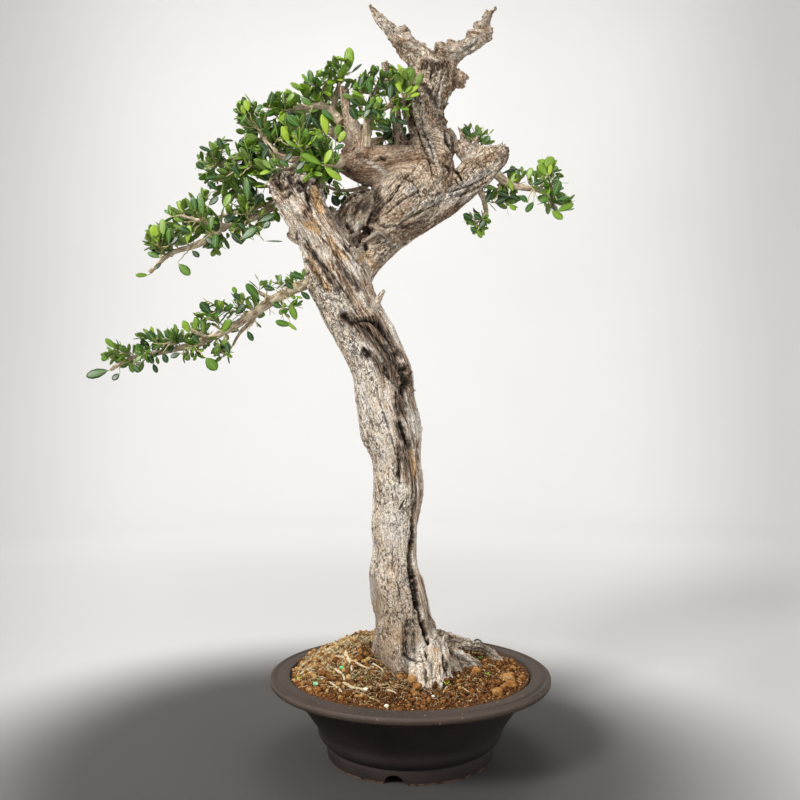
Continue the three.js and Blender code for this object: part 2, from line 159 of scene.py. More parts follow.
print("the packed trunk has", len(read_points(frame["nodes"]["trunk"])), "points")

# %% [markdown]
# Shader maths reads best as plain sums. A Signal wraps one output socket, and adding or multiplying
# Signals adds the Math nodes. Colours are given as on a colour chart, where they are easy to compare.

# %% Signals and colours
class Signal:
    def __init__(self, finish, socket):
        self.finish, self.socket = finish, socket

    def maths(self, operation, first, second):
        return self.finish.node("Math", {"operation": operation}, {0: first, 1: second})

    def __add__(self, other):
        return self.maths("ADD", self, other)

    def __sub__(self, other):
        return self.maths("SUBTRACT", self, other)

    def __rsub__(self, other):
        return self.maths("SUBTRACT", other, self)

    def __mul__(self, other):
        return self.maths("MULTIPLY", self, other)

    __radd__, __rmul__ = __add__, __mul__

    def larger(self, other):
        return self.maths("MAXIMUM", self, other)

    def within(self, low, high):
        """0 at low, 1 at high, and eased between them."""
        settings = {"interpolation_type": "SMOOTHSTEP"}
        return self.finish.node("MapRange", settings, {"Value": self, "From Min": low, "From Max": high})


def chart(red, green, blue):
    """A colour as on a colour chart, 0 to 255, turned to the linear values that a shader uses."""
    def linear(value):
        value /= 255
        return value / 12.92 if value <= 0.04045 else ((value + 0.055) / 1.055) ** 2.4
    return tuple(linear(value) for value in (red, green, blue))


print("the chart's middle grey, 128, is", round(chart(128, 128, 128)[0], 3), "to a shader")

# %% [markdown]
# A Finish holds one material. Its `node` method makes any kind of node from a type, its settings and what
# goes into its sockets, so a whole material is a few lines. It is primed with one colour and then painted
# coat by coat, as a wooden model would be, and every coat has its own mask.

# %% Finishes
class Finish:
    def __init__(self, name, **constants):
        self.material = bpy.data.materials.new(name)
        self.material.use_nodes = True
        self.tree = self.material.node_tree
        self.shader = self.tree.nodes["Principled BSDF"]
        for socket, value in constants.items():
            self.shader.inputs[socket.replace("_", " ")].default_value = value

    def node(self, kind, settings=None, sockets=None, output=0):
        made = self.tree.nodes.new("ShaderNode" + kind)
        for name, value in (settings or {}).items():
            if name == "stops":
                ramp = made.color_ramp
                for place, *_ in value[2:]:
                    ramp.elements.new(place)
                for element, (place, *colour) in zip(ramp.elements, value):
                    element.position, element.color = place, (*chart(*colour), 1.0)
            else:
                setattr(made, name, value)
        for name, value in (sockets or {}).items():
            self.feed(made.inputs[name], value)
        return Signal(self, made.outputs[output])

    def feed(self, socket, value):
        if isinstance(value, Signal):
            self.tree.links.new(value.socket, socket)
        elif socket.type == "RGBA":
            socket.default_value = (*value, 1.0)
        else:
            socket.default_value = value

    def set(self, socket, value):
        self.feed(self.shader.inputs[socket], value)

    def prime(self, colour):
        """The first coat, under all that is painted later."""
        self.colour = colour
        self.set("Base Color", colour)

    def place(self):
        return self.node("TexCoord", output="Object")

    def attribute(self, name, output="Fac"):
        return self.node("Attribute", {"attribute_name": name}, output=output)

    def stretched(self, where, scale):
        return self.node("Mapping", {}, {"Vector": where, "Scale": scale})

    def noise(self, where, scale, detail=4.0, roughness=0.55):
        sockets = {"Vector": where, "Scale": scale, "Detail": detail, "Roughness": roughness}
        return self.node("TexNoise", {}, sockets)

    def cells(self, where, scale, feature="F1"):
        return self.node("TexVoronoi", {"feature": feature}, {"Vector": where, "Scale": scale})

    def warped(self, where, scale, amount):
        """The same place pushed about by noise, so that cells come out crooked."""
        sockets = {"Vector": where, "Scale": scale, "Detail": 3.0}
        push = self.node("TexNoise", {}, sockets, output=1)
        return self.blend(amount, where, push, "LINEAR_LIGHT")

    def ramp(self, signal, *stops):
        """Colours that follow a signal. A stop is its place, then red, green and blue of the chart."""
        return self.node("ValToRGB", {"stops": stops}, {0: signal})

    def blend(self, mask, first, second, how="MIX"):
        """first where the mask is 0, second where it is 1; both are colours."""
        settings = {"data_type": "RGBA", "blend_type": how, "clamp_factor": True}
        return self.node("Mix", settings, {"Factor": mask, 6: first, 7: second}, output=2)

    def paint(self, mask, colour, how="MIX"):
        """Lays one more colour over the finish where the mask is 1."""
        self.colour = self.blend(mask, self.colour, colour, how)
        self.set("Base Color", self.colour)

    def bump(self, height, distance, strength=1.0):
        sockets = {"Height": height, "Distance": distance, "Strength": strength}
        self.set("Normal", self.node("Bump", {}, sockets))


print("a finish knows these methods:", ", ".join(name for name in vars(Finish) if "__" not in name))

# %% [markdown]
# Nothing that grew is smooth, so most shapes below are roughened by noise. The noise of a finish lives
# in its shader, where it can't move a point. This is the same gradient noise in numpy, for all the points
# of a mesh at once, with a cell version for cracked bark. Both give the same values every time.

# %% Noise for shapes
def unit_rows(rows):
    return rows / np.linalg.norm(rows, axis=1, keepdims=True)


shuffler = np.random.default_rng(11)
TURNS = np.tile(shuffler.permutation(256), 3)
SLOPES = unit_rows(shuffler.normal(size=(256, 3)))
CUBE_CORNERS = np.array([[i >> 2 & 1, i >> 1 & 1, i & 1] for i in range(8)])
NEIGHBOURS = np.array([[x, y, z] for x in (-1, 0, 1) for y in (-1, 0, 1) for z in (-1, 0, 1)])


def cell_number(cell, seed):
    x, y, z = ((cell + seed * 31) & 255).T
    return TURNS[TURNS[TURNS[x] + y] + z]


def eased(values, low, high):
    """0 below low, 1 above high, and a soft step between them."""
    t = np.clip((values - low) / (high - low), 0, 1)
    return t * t * (3 - 2 * t)


def noise(points, seed=0):
    """Smooth noise of about -1 to 1, with bumps one unit across."""
    cell = np.floor(points).astype(int)
    inside = points - cell
    ease = inside ** 3 * (inside * (inside * 6 - 15) + 10)
    total = np.zeros(len(points))
    for corner in CUBE_CORNERS:
        slope = SLOPES[cell_number(cell + corner, seed)]
        weight = np.where(corner, ease, 1 - ease).prod(axis=1)
        total += weight * ((inside - corner) * slope).sum(axis=1)
    return total * 1.6


def rough(points, octaves, seed=0):
    return sum(noise(points * 2 ** i, seed + i) / 2 ** i for i in range(octaves))


def strands(points, seed=0):
    """Rounded strands with sharp furrows between them: 0 in a furrow, about 1 on a strand."""
    return 1.6 * np.abs(noise(points, seed) + 0.35 * noise(points * 2.3, seed + 7))


def plates(points, seed=0):
    """Irregular plates with cracks between them: 0 in a crack, 1 on a plate."""
    cell = np.floor(points).astype(int)
    nearest = np.full(len(points), 9.0)
    second = np.full(len(points), 9.0)
    for step in NEIGHBOURS:
        near = cell + step
        middle = near + 0.5 + 0.42 * SLOPES[cell_number(near, seed)]
        distance = np.sqrt(((points - middle) ** 2).sum(axis=1))
        second = np.minimum(second, np.maximum(distance, nearest))
        nearest = np.minimum(nearest, distance)
    return eased(second - nearest, 0.02, 0.3)


sample = noise(shuffler.uniform(0, 40, (2000, 3)))
print("noise runs from", sample.min().round(2), "to", sample.max().round(2))

# %% [markdown]
# The camera stands level with the middle of the trunk and looks up by a few degrees, as someone who
# shows a tree would hold it. Two helpers use its view the other way round: one gives the line of sight
# through a point of the front view and one the place seen there, so a mark can be set where the eye
# wants it.

# %% Camera
PICTURE_SIDE, FOCAL_PIXELS, SENSOR = 800, 800, 36.0
CAMERA_PLACE, CAMERA_TILT = (-11.2, -880.0, 334.6), math.radians(2.855)
camera_data = bpy.data.cameras.new("camera")
camera_data.sensor_width = SENSOR
camera_data.lens = SENSOR * FOCAL_PIXELS / PICTURE_SIDE
camera = bpy.data.objects.new("camera", camera_data)
camera.location = world(CAMERA_PLACE)
camera.rotation_euler = (math.radians(90) + CAMERA_TILT, 0.0, 0.0)
bpy.context.scene.collection.objects.link(camera)
bpy.context.scene.camera = camera


def sight(u, v):
    """The direction in which the camera sees the point u across and v down its picture."""
    across, up = (u - PICTURE_SIDE / 2) / FOCAL_PIXELS, (PICTURE_SIDE / 2 - v) / FOCAL_PIXELS
    level, rise = math.cos(CAMERA_TILT), math.sin(CAMERA_TILT)
    return np.array([across, level - up * rise, rise + up * level])


def seen_at(u, v, y):
    """The point y millimetres behind the pot's axis that the camera sees at (u, v)."""
    direction = sight(u, v)
    return np.array(CAMERA_PLACE) + direction * (y - CAMERA_PLACE[1]) / direction[1]


print("the middle of the front view is", seen_at(400, 400, 0).round(1), "mm")

# %% [markdown]
# A large soft light stands above and to the left, a weaker one fills from the right, one shines down
# from behind the crown, and one lights the backdrop. The room itself glows evenly, a little blue.

# %% Soft light
TREE_MIDDLE = Vector((0.0, 0.0, 0.42))


def soft_light(name, place, size, watts, colour, aim=TREE_MIDDLE):
    lamp = bpy.data.lights.new(name, "AREA")
    lamp.shape, lamp.size, lamp.energy, lamp.color = "DISK", size, watts, colour
    light = bpy.data.objects.new(name, lamp)
    light.location = place
    light.rotation_euler = (aim - Vector(place)).to_track_quat("-Z", "Y").to_euler()
    light.visible_camera = False
    bpy.context.scene.collection.objects.link(light)


soft_light("key", (-1.5, -1.7, 1.9), 0.8, 88, (1.0, 0.985, 0.96))
soft_light("fill", (1.9, -1.5, 0.9), 1.6, 22, (0.96, 0.98, 1.0))
soft_light("top", (0.2, 0.5, 2.4), 1.4, 26, (1.0, 1.0, 1.0))
soft_light("backdrop", (-0.1, 1.7, 2.4), 1.0, 18, (1.0, 1.0, 1.0), aim=Vector((-0.1, 3.7, 2.0)))

room = bpy.data.worlds.new("room")
room.use_nodes = True
glow = room.node_tree.nodes["Background"].inputs
glow["Color"].default_value, glow["Strength"].default_value = (0.80, 0.81, 0.83, 1.0), 0.72
bpy.context.scene.world = room
bpy.context.scene.view_settings.view_transform = "Standard"
print(len(bpy.data.lights), "lamps")

# %% [markdown]
# A pale bowl of a floor goes round the whole stand, so there is no edge from any side. It is painted dark
# under the pot, so that no light bounces up on the clay, and a little greyer towards the left and right,
# like a backdrop that is lit in the middle. The bowl is turned as on a wheel: a circle is extruded and
# widened ring by ring. The pot and its soil will be made in the same way.

# %% Floor and bowl
def grow_rings(name, rings, sides, centre=(0.0, 0.0), filled=False):
    """Turns a shape as on a wheel: a circle is extruded ring by ring. Rings are (radius, height)."""
    deselect()
    radius, height = rings[0]
    fill = "NGON" if filled else "NOTHING"
    bpy.ops.mesh.primitive_circle_add(vertices=sides, radius=radius, fill_type=fill,
                                      location=(*centre, height))
    piece = bpy.context.object
    piece.name = name
    edit(piece)
    if filled:
        bpy.ops.mesh.region_to_loop()
    for next_radius, next_height in rings[1:]:
        bpy.ops.mesh.extrude_edges_move(TRANSFORM_OT_translate={"value": (0, 0, next_height - height)})
        widen = next_radius / radius
        bpy.ops.transform.resize(value=(widen, widen, 1), center_override=(*centre, next_height))
        radius, height = next_radius, next_height
    bpy.ops.mesh.select_all(action="SELECT")
    bpy.ops.mesh.remove_doubles(threshold=1e-6)
    bpy.ops.mesh.normals_make_consistent(inside=False)
    bpy.ops.object.mode_set(mode="OBJECT")
    bpy.ops.object.shade_smooth()
    return piece


FLOOR_RADIUS, COVE_RADIUS, BOWL_HEIGHT, COVE_STEPS = 2.2, 1.5, 4.5, 12
cove = [math.radians(90) * step / COVE_STEPS for step in range(1, COVE_STEPS + 1)]
floor_rings = [(FLOOR_RADIUS, 0.0)]
floor_rings += [(FLOOR_RADIUS + COVE_RADIUS * math.sin(a), COVE_RADIUS * (1 - math.cos(a))) for a in cove]
floor_rings += [(FLOOR_RADIUS + COVE_RADIUS, BOWL_HEIGHT)]
floor = grow_rings("floor", floor_rings, 96, filled=True)
paper = Finish("studio_paper", Roughness=0.9)
where = paper.place()
floor_noise = paper.noise(where, 1.3, detail=2.0)
sideways, backwards = [paper.node("SeparateXYZ", {}, {0: where}, output=i) for i in range(2)]
from_middle = paper.node("VectorMath", {"operation": "LENGTH"}, {0: paper.stretched(where, (1, 1, 0.6))}, 1)
reach = backwards + 0.9
fan = sideways.maths("DIVIDE", sideways, reach.maths("ABSOLUTE", reach, 0.0).larger(0.4))
pale = paper.blend(floor_noise, chart(226, 225, 224), chart(232, 231, 229))
paper.prime(paper.blend(from_middle.within(0.5, 2.2), chart(190, 188, 186), pale))
paper.paint((fan * fan).within(0.06, 0.26), (0.78, 0.78, 0.78), "MULTIPLY")
paper.prime(paper.blend(from_middle.within(0.26, 0.56), chart(66, 63, 61), paper.colour))
floor.data.materials.append(paper.material)
print("floor and bowl:", len(floor.data.polygons), "faces")

# %% [markdown]
# ## The pot
# A shallow round training pot, thrown in a dark clay and fired without glaze: a foot ring, a waist, a
# flaring wall and a wide flat rim with a thin lip. Its outline is written down as rings of a radius and
# a height in millimetres, from the drain hole out, up, over the rim, and down inside to the hole again.

# %% The pot's outline
RIM_RADIUS, RIM_INNER_RADIUS, RIM_TOP = 150, 129, 86
FLOOR_UNDERSIDE, FLOOR_TOP, DRAIN_RADIUS = 5, 12, 16
FOOT_RADIUS, FOOT_INNER_RADIUS = 89, 78
WIRE_HOLE_RADIUS, WIRE_HOLES = 4, [(-45, -12), (45, -12)]
NOTCH_RADIUS, NOTCH_DROP, NOTCH_ANGLES = 11.5, 1.5, (-101, 19, 139)
foot = [(DRAIN_RADIUS, FLOOR_UNDERSIDE), (45, FLOOR_UNDERSIDE), (FOOT_INNER_RADIUS - 4, FLOOR_UNDERSIDE),
        (FOOT_INNER_RADIUS - 1, 4), (FOOT_INNER_RADIUS, 2), (FOOT_INNER_RADIUS + 0.8, 0.4),
        (FOOT_INNER_RADIUS + 2, 0), (FOOT_RADIUS - 2, 0), (FOOT_RADIUS - 0.6, 0.5), (FOOT_RADIUS, 2),
        (FOOT_RADIUS + 0.6, 6), (FOOT_RADIUS + 1, 11), (FOOT_RADIUS + 0.6, 13.5), (FOOT_RADIUS - 0.2, 14.6)]
outer_wall = [(90.3, 15.6), (93.5, 18), (96.6, 21.4), (98.6, 25), (98.9, 28), (99.2, 31), (102, 36.5),
              (106.4, 42.6), (111.6, 50), (117, 58), (122.6, 66), (127.6, 71.6), (132.4, 75.4), (138, 77)]
rim = [(146.6, 77.6), (148.8, 78.2), (149.8, 79.4), (RIM_RADIUS, 81), (149.9, 83.2), (149.3, 84.9),
       (148, 85.8), (146.4, 85.9), (145, 85.1), (144.2, 84.4), (143.2, 84.3), (142.2, 84.9), (141.2, 85.8),
       (139.8, 86), (131.6, 86), (130, 85.5), (129.2, 84.2)]
inner_wall = [(127.6, 81), (124, 77), (115, 66), (103, 48), (94, 32), (90, 22), (84, FLOOR_TOP),
              (45, FLOOR_TOP), (DRAIN_RADIUS, FLOOR_TOP), (DRAIN_RADIUS, FLOOR_UNDERSIDE)]
pot_outline = foot + outer_wall + rim + inner_wall
print(len(pot_outline), "rings make the outline of the pot, which is", RIM_TOP, "mm high")

# %% [markdown]
# The outline is turned as on the potter's wheel. Notches in the foot and two holes for the tie wire are
# cut with booleans, which leave the same sharp edges as a wire through leather-hard clay. A hand-made
# pot is never quite round, so its walls are pushed in and out by a fraction of a millimetre.

# %% Turn and cut the pot
POT_SIDES = 144
pot = grow_rings("clay_pot", [(r * MM, z * MM) for r, z in pot_outline], POT_SIDES, centre=POT_AXIS[:2])


def cut_cylinder(piece, radius, length, centre, turn=(0.0, 0.0, 0.0)):
    deselect()
    bpy.ops.mesh.primitive_cylinder_add(vertices=32, radius=radius * MM, depth=length * MM,
                                        location=world(centre), rotation=turn)
    cutter = bpy.context.object
    boolean = piece.modifiers.new("cut", "BOOLEAN")
    boolean.operation, boolean.object, boolean.solver = "DIFFERENCE", cutter, "EXACT"
    apply_modifiers(piece)
    bpy.data.objects.remove(cutter)


for angle in map(math.radians, NOTCH_ANGLES):
    reach = FOOT_RADIUS - 4
    centre = (reach * math.cos(angle), reach * math.sin(angle), -NOTCH_DROP)
    cut_cylinder(pot, NOTCH_RADIUS, 30, centre, (0.0, math.radians(90), angle))
for x, y in WIRE_HOLES:
    cut_cylinder(pot, WIRE_HOLE_RADIUS, 20, (x, y, FLOOR_UNDERSIDE))

hand = read_points(pot)
angle = np.arctan2(hand[:, 1], hand[:, 0])
wobble = noise(np.stack([2 * np.cos(angle), 2 * np.sin(angle), hand[:, 2] / 30], axis=1), 3)
hand[:, :2] *= 1 + 0.0016 * (wobble * eased(hand[:, 2], 1, 20))[:, None]
move_points(pot, hand)
activate(pot)
bpy.ops.object.shade_smooth_by_angle(angle=math.radians(38))
print("the turned and cut pot has", triangles(pot), "triangles")

# %% [markdown]
# Fired clay without glaze is almost matt, and its colour goes from chocolate to charcoal in soft clouds.
# The wheel leaves faint rings, the top of the rim has been rubbed pale and dusty by soil and hands, and
# the foot is worn to the bare tan clay where it has been dragged over benches.

# %% Unglazed clay
clay = Finish("unglazed_clay", Specular_IOR_Level=0.35)
where = clay.place()
height = clay.node("SeparateXYZ", {}, {0: where}, output=2)
clouds = clay.noise(where, 28, detail=5)
speckle = clay.noise(where, 900, detail=3)
rings = clay.noise(clay.stretched(where, (4, 4, 420)), 1.0, detail=3)
# The body is primed darker than the rim: partly the clay's own colour, partly painted shade under the rim.
clay.prime(clay.ramp(clouds, (0.3, 30, 23, 21), (0.72, 47, 37, 33)))
clay.paint(height.within(0.0745, 0.0785), clay.ramp(clouds, (0.3, 52, 41, 34), (0.7, 68, 55, 45)))
rubbed = clay.noise(where, 60, detail=6, roughness=0.7).within(0.52, 0.75)
clay.paint(rubbed * height.within(0.084, 0.0855) * 0.35, chart(84, 73, 65))
from_axis = clay.node("VectorMath", {"operation": "DISTANCE"},
                      {0: clay.stretched(where, (1, 1, 0)), 1: tuple(POT_AXIS)}, output=1)
# A thin paler line round the outer edge of the lip is a painted highlight, stronger where it is rubbed.
lip_highlight = from_axis.within(0.1488, 0.1496) * height.within(0.081, 0.083)
clay.paint(lip_highlight * (0.35 + 0.5 * rubbed), chart(104, 90, 80))
dust = clay.noise(where, 330, detail=2).within(0.68, 0.73) * height.within(0.05, 0.08)
clay.paint(dust * 0.7, chart(160, 122, 86))
worn = (1.0 - height.within(0.0008, 0.0028)) * clay.noise(where, 150, detail=4).within(0.38, 0.55)
clay.paint(worn * 0.8, chart(138, 104, 76))
clay.paint(speckle.within(0.3, 0.7) * 0.25, chart(22, 17, 15))
clay.set("Roughness", 0.6 + 0.3 * clouds)
clay.bump(0.55 * speckle + 0.6 * rings, 0.0005, 0.55)
settle(pot, clay, ["pot"])

# %% [markdown]
# ## The trunk
# Everything from the buried roots to the dead tips is one grown piece. It is laid out as a hand would
# bend it from clay: tapering tubes along bent centre lines, pushed into each other. Twigs, wires and the
# fibres of the roots are tubes too, so one helper skins them all, and a Heap joins what is small and
# many into one piece.

# %% Tubes and heaps
def ring_faces(first, rings, sides):
    """The four-sided faces between rings of points that follow each other."""
    lows = range(first, first + (rings - 1) * sides, sides)
    return [(low + i, low + (i + 1) % sides, low + sides + (i + 1) % sides, low + sides + i)
            for low in lows for i in range(sides)]


def skin_tube(line, radius, across, deep, sides, flat=1.0):
    """A closed tube round a line, as points and faces."""
    turn = 2 * np.pi * np.arange(sides)[:, None] / sides
    ring = np.cos(turn) * across[:, None] + flat * np.sin(turn) * deep[:, None]
    points = (line[:, None] + radius[:, None, None] * ring).reshape(-1, 3)
    ends = [tuple(range(sides))[::-1], tuple(range(len(points) - sides, len(points)))]
    return points, ring_faces(0, len(line), sides) + ends


class Heap:
    """Gathers many small shapes, each with its own shade, and makes one piece of them."""
    def __init__(self, name):
        self.name, self.points, self.faces, self.shades, self.total = name, [], [], [], 0

    def add(self, points, faces, shade=0.0):
        self.points.append(points)
        self.faces += [tuple(corner + self.total for corner in face) for face in faces]
        self.shades += [shade] * len(points)
        self.total += len(points)

    def mesh(self):
        return mesh_piece(self.name, np.vstack(self.points), self.faces)

    def build(self, slot, finish, stands_for=()):
        piece = self.mesh()
        write_attribute(piece, "shade", self.shades)
        return settle(piece, finish, stands_for)


print("a tube of ten rings of five points has", len(ring_faces(0, 10, 5)), "faces and two ends")

# %% [markdown]
# A limb is set down by a few stations, each a place and a radius in millimetres, and a smooth curve is
# led through them. It keeps a frame all along, because the grain of the wood will have to follow it. The
# overlapping tubes then become one skin by a voxel remesh, and light smoothing fills the sharp valleys
# between them, as wood grows over a fork.

# %% Limbs
STEP = 3.0


class Limb:
    """A centre line with a radius, and a frame that turns with it, at every few millimetres."""
    def __init__(self, stations, style="crown", twist=0.0, flat=1.0, start=0.0):
        stations = np.array(stations, float)
        self.style, self.twist, self.flat = style, twist, flat
        spans = np.linalg.norm(np.diff(stations[:, :3], axis=0), axis=1)
        padded = np.vstack([2 * stations[0] - stations[1], stations, 2 * stations[-1] - stations[-2]])
        rows = [stations[:1]]
        for i, span in enumerate(spans):
            before, first, last, after = padded[i:i + 4]
            count = max(1, int(round(span / STEP)))
            t = (np.arange(count) + 1)[:, None] / count
            square = 2 * before - 5 * first + 4 * last - after
            cube = 3 * first - before - 3 * last + after
            rows.append(0.5 * (2 * first + (last - before) * t + square * t ** 2 + cube * t ** 3))
        rows = np.vstack(rows)
        self.line, self.radius = rows[:, :3], np.maximum(rows[:, 3], 0.4)
        steps = np.linalg.norm(np.diff(self.line, axis=0), axis=1)
        self.along = start + np.concatenate([[0], np.cumsum(steps)])
        self.tangent = unit_rows(np.gradient(self.line, axis=0))
        self.across = unit_rows(np.cross((0.0, 1.0, 0.0), self.tangent))
        self.deep = np.cross(self.tangent, self.across)

    def tube(self, sides):
        return skin_tube(self.line, self.radius, self.across, self.deep, sides, self.flat)


def join_tubes(name, limbs, sides):
    tubes = Heap(name)
    for limb in limbs:
        tubes.add(*limb.tube(sides))
    return tubes.mesh()


def fuse(piece, voxel, smoothing):
    """Overlapping closed tubes become one skin, and the sharp valleys between them are filled."""
    activate(piece)
    piece.data.remesh_voxel_size = voxel * MM
    piece.data.remesh_voxel_adaptivity = 0.0
    bpy.ops.object.voxel_remesh()
    edit(piece)
    bpy.ops.mesh.vertices_smooth(factor=0.5, repeat=smoothing)
    bpy.ops.object.mode_set(mode="OBJECT")
    bpy.ops.object.shade_smooth()


straight = Limb([(0, 0, 0, 5), (0, 0, 60, 3)])
print("a straight limb", round(straight.along[-1]), "mm long has", len(straight.line), "rings")

# %% [markdown]
# The main stem leans over to a broken stub at the upper left. A thick strap of old bark crosses behind
# it to the right and carries the crown: a hub, an upright that splits in two dead tips, and a live limb
# that sweeps back to the left. Each limb has a style, which says how its wood has weathered.

# %% The tree's limbs
TRUNK_STATIONS = [
    (4, 2, 58, 24), (3, 0, 84, 33), (-2, 0, 112, 34.5), (-8, 2, 137, 29.5), (-11, 4, 162, 28.5),
    (-17, 6, 183, 29), (-17, 8, 214, 24.5), (-17, 9, 246, 26), (-13, 9, 279, 27.5), (-15, 8, 312, 27.5),
    (-20, 6, 343, 34), (-28, 4, 379, 32.5), (-32, 1, 412, 33), (-48, -2, 445, 32), (-65, -5, 477, 33),
    (-79, -8, 510, 34), (-88, -11, 534, 29.5), (-98, -14, 555, 24), (-108, -17, 573, 23.5),
    (-118, -20, 592, 26), (-126, -23, 610, 28), (-127, -24, 622, 25)]
trunk_limbs = [
    Limb(TRUNK_STATIONS, "stem", twist=0.0022, flat=0.88),
    Limb([(-75, 2, 495, 24), (-58, 10, 527, 22), (-32, 15, 560, 20.5), (2, 18, 582, 18.5), (39, 18, 605, 17),
          (60, 17, 624, 18), (78, 15, 641, 20), (97, 13, 655, 15.5), (107, 12, 664, 9)],
         "strap", twist=0.003, flat=0.88, start=420),
    Limb([(-43, 14, 566, 25), (-13, 18, 600, 37), (16, 20, 631, 35), (25, 20, 664, 25)], "hub", flat=0.88,
         start=470),
    Limb([(16, 20, 633, 30), (23, 20, 666, 25), (21, 19, 691, 21.5), (15, 18, 715, 24), (20, 18, 733, 25),
          (27, 18, 752, 28), (25, 18, 766, 21)], "upright", twist=0.004, flat=0.88, start=540),
    Limb([(21, 18, 762, 17), (5, 17, 777, 14.5), (-10, 15, 792, 11.5), (-24, 13, 805, 7.8),
          (-36, 11, 819, 5.2), (-46, 9, 831, 2.4)], "tip", twist=0.012, flat=0.88, start=700),
    Limb([(35, 18, 758, 18), (49, 19, 777, 11.5), (67, 21, 787, 9.3), (84, 24, 801, 8.4), (87, 26, 814, 6.6),
          (94, 28, 828, 4), (102, 30, 840, 1.8)], "tip", twist=-0.012, flat=0.88, start=700),
    Limb([(36, 18, 746, 15), (50, 16, 746, 11), (60, 15, 745, 9.5), (65, 15, 744, 6)], "tip", start=700),
    Limb([(17, 18, 640, 27), (-11, 14, 644, 24.5), (-39, 10, 643, 23), (-61, 8, 648, 20.5),
          (-77, 6, 651, 15)], "limb", twist=0.002, flat=0.88, start=560),
    Limb([(-57, 8, 659, 17), (-64, 4, 684, 9.5), (-71, 0, 706, 6.2), (-74, -3, 728, 5.6)], "cut", start=640),
    Limb([(-2, 26, 659, 10.5), (-12, 32, 692, 7), (-19, 36, 731, 6.4), (-28, 40, 774, 6)], "upright",
         start=640),
    Limb([(-74, 6, 552, 16), (-74, 8, 578, 13.5), (-65, 8, 596, 11.5), (-54, 8, 606, 9.5),
          (-43, 8, 613, 6.5)], "rotten", start=470),
    Limb([(-109, -14, 553, 8), (-119, -16, 556, 8.5), (-127, -16, 559, 8), (-134, -16, 562, 4.5)], "burl",
         start=470),
    Limb([(-48, -12, 464, 9), (-38, -20, 481, 5.2), (-28, -23, 497, 2.8)], "spike", start=400)]
print(len(trunk_limbs), "limbs, the stem", round(trunk_limbs[0].along[-1]), "mm long")

# %% [markdown]
# The crown died long ago, and what is left of its branches stands out as broken stubs, knobs and
# splinters. They are short limbs like the rest, all in one style.

# %% Splinters
SPLINTERS = [
    [(80, 15, 650, 14), (68, 15, 657, 11.5), (60, 15, 667, 10), (58, 15, 675, 6.5)],
    [(62, 12, 664, 3.6), (61, 10, 674, 3.0), (58, 9, 682, 2.2), (54, 8, 689, 0.9)],
    [(71, 13, 656, 4.5), (75, 12, 668, 3.6), (77, 11, 680, 2.4)], [(98, 13, 656, 10), (107, 12, 669, 5)],
    [(42, 24, 662, 9), (47, 26, 680, 7), (45, 26, 694, 3)],
    [(34, 18, 715, 7), (41, 18, 718, 3.2), (46, 18, 720, 1.2)],
    [(33, 18, 694, 8), (39, 18, 697, 4.2), (44, 18, 699, 1.6)],
    [(-14, 15, 792, 9), (-7, 14, 802, 7.5), (-3, 14, 807, 4)], [(-4, 15, 790, 9), (2, 14, 796, 6.5)],
    [(4, 17, 775, 10), (13, 17, 783, 7), (19, 17, 787, 3.2)], [(13, 17, 768, 9), (22, 17, 777, 6)],
    [(37, 18, 764, 10), (36, 18, 780, 7.5), (34, 18, 791, 5)], [(43, 18, 776, 7), (40, 18, 786, 4)],
    [(46, 19, 774, 9), (48, 19, 786, 6), (46, 19, 795, 4)], [(56, 19, 782, 9), (59, 19, 792, 4)],
    [(86, 24, 802, 9), (95, 25, 805, 7.5)], [(78, 23, 799, 9), (70, 22, 801, 7), (65, 22, 800, 4)],
    [(84, 24, 810, 8), (79, 24, 817, 6)], [(88, 26, 824, 5), (90, 27, 835, 2.6)],
    [(50, 18, 752, 8), (58, 16, 756, 4)], [(-26, 39, 768, 6), (-31, 38, 777, 4)],
    [(-25, 40, 768, 5), (-20, 40, 775, 3)],
    [(-118, -20, 606, 9), (-128, -20, 620, 8), (-131, -20, 632, 3)],
    [(-110, -22, 600, 12), (-104, -22, 617, 11), (-101, -22, 626, 5)],
    [(-70, -2, 574, 5), (-66, -5, 585, 4), (-63, -6, 596, 2)],
    [(-61, -4, 562, 5), (-56, -8, 578, 4), (-54, -9, 588, 2)],
    [(-51, -4, 572, 5), (-46, -8, 584, 3.6), (-42, -9, 594, 2)],
    [(-69, 0, 544, 6), (-66, -4, 557, 4), (-63, -5, 568, 2.4)],
    [(-52, -2, 552, 5), (-42, -7, 559, 3.4), (-33, -8, 563, 2.8), (-19, -5, 551, 1.6)],
    [(-30, 0, 150, 10), (-35, 0, 166, 9.5), (-36, 0, 178, 8.5), (-32, 2, 192, 6)],
    [(-91, 0, 560, 10), (-88, 0, 580, 7), (-90, 2, 596, 4)],
    [(-76, 2, 556, 15), (-65, 6, 576, 12), (-54, 9, 592, 9)]]
trunk_limbs += [Limb(stations, "splinter", start=700) for stations in SPLINTERS]
print(len(SPLINTERS), "splinters")

# %% [markdown]
# At the foot the stem spreads into roots, some bare and bleached in front and one long one to the right.
# With them the wood is complete, and everything is fused in one go.

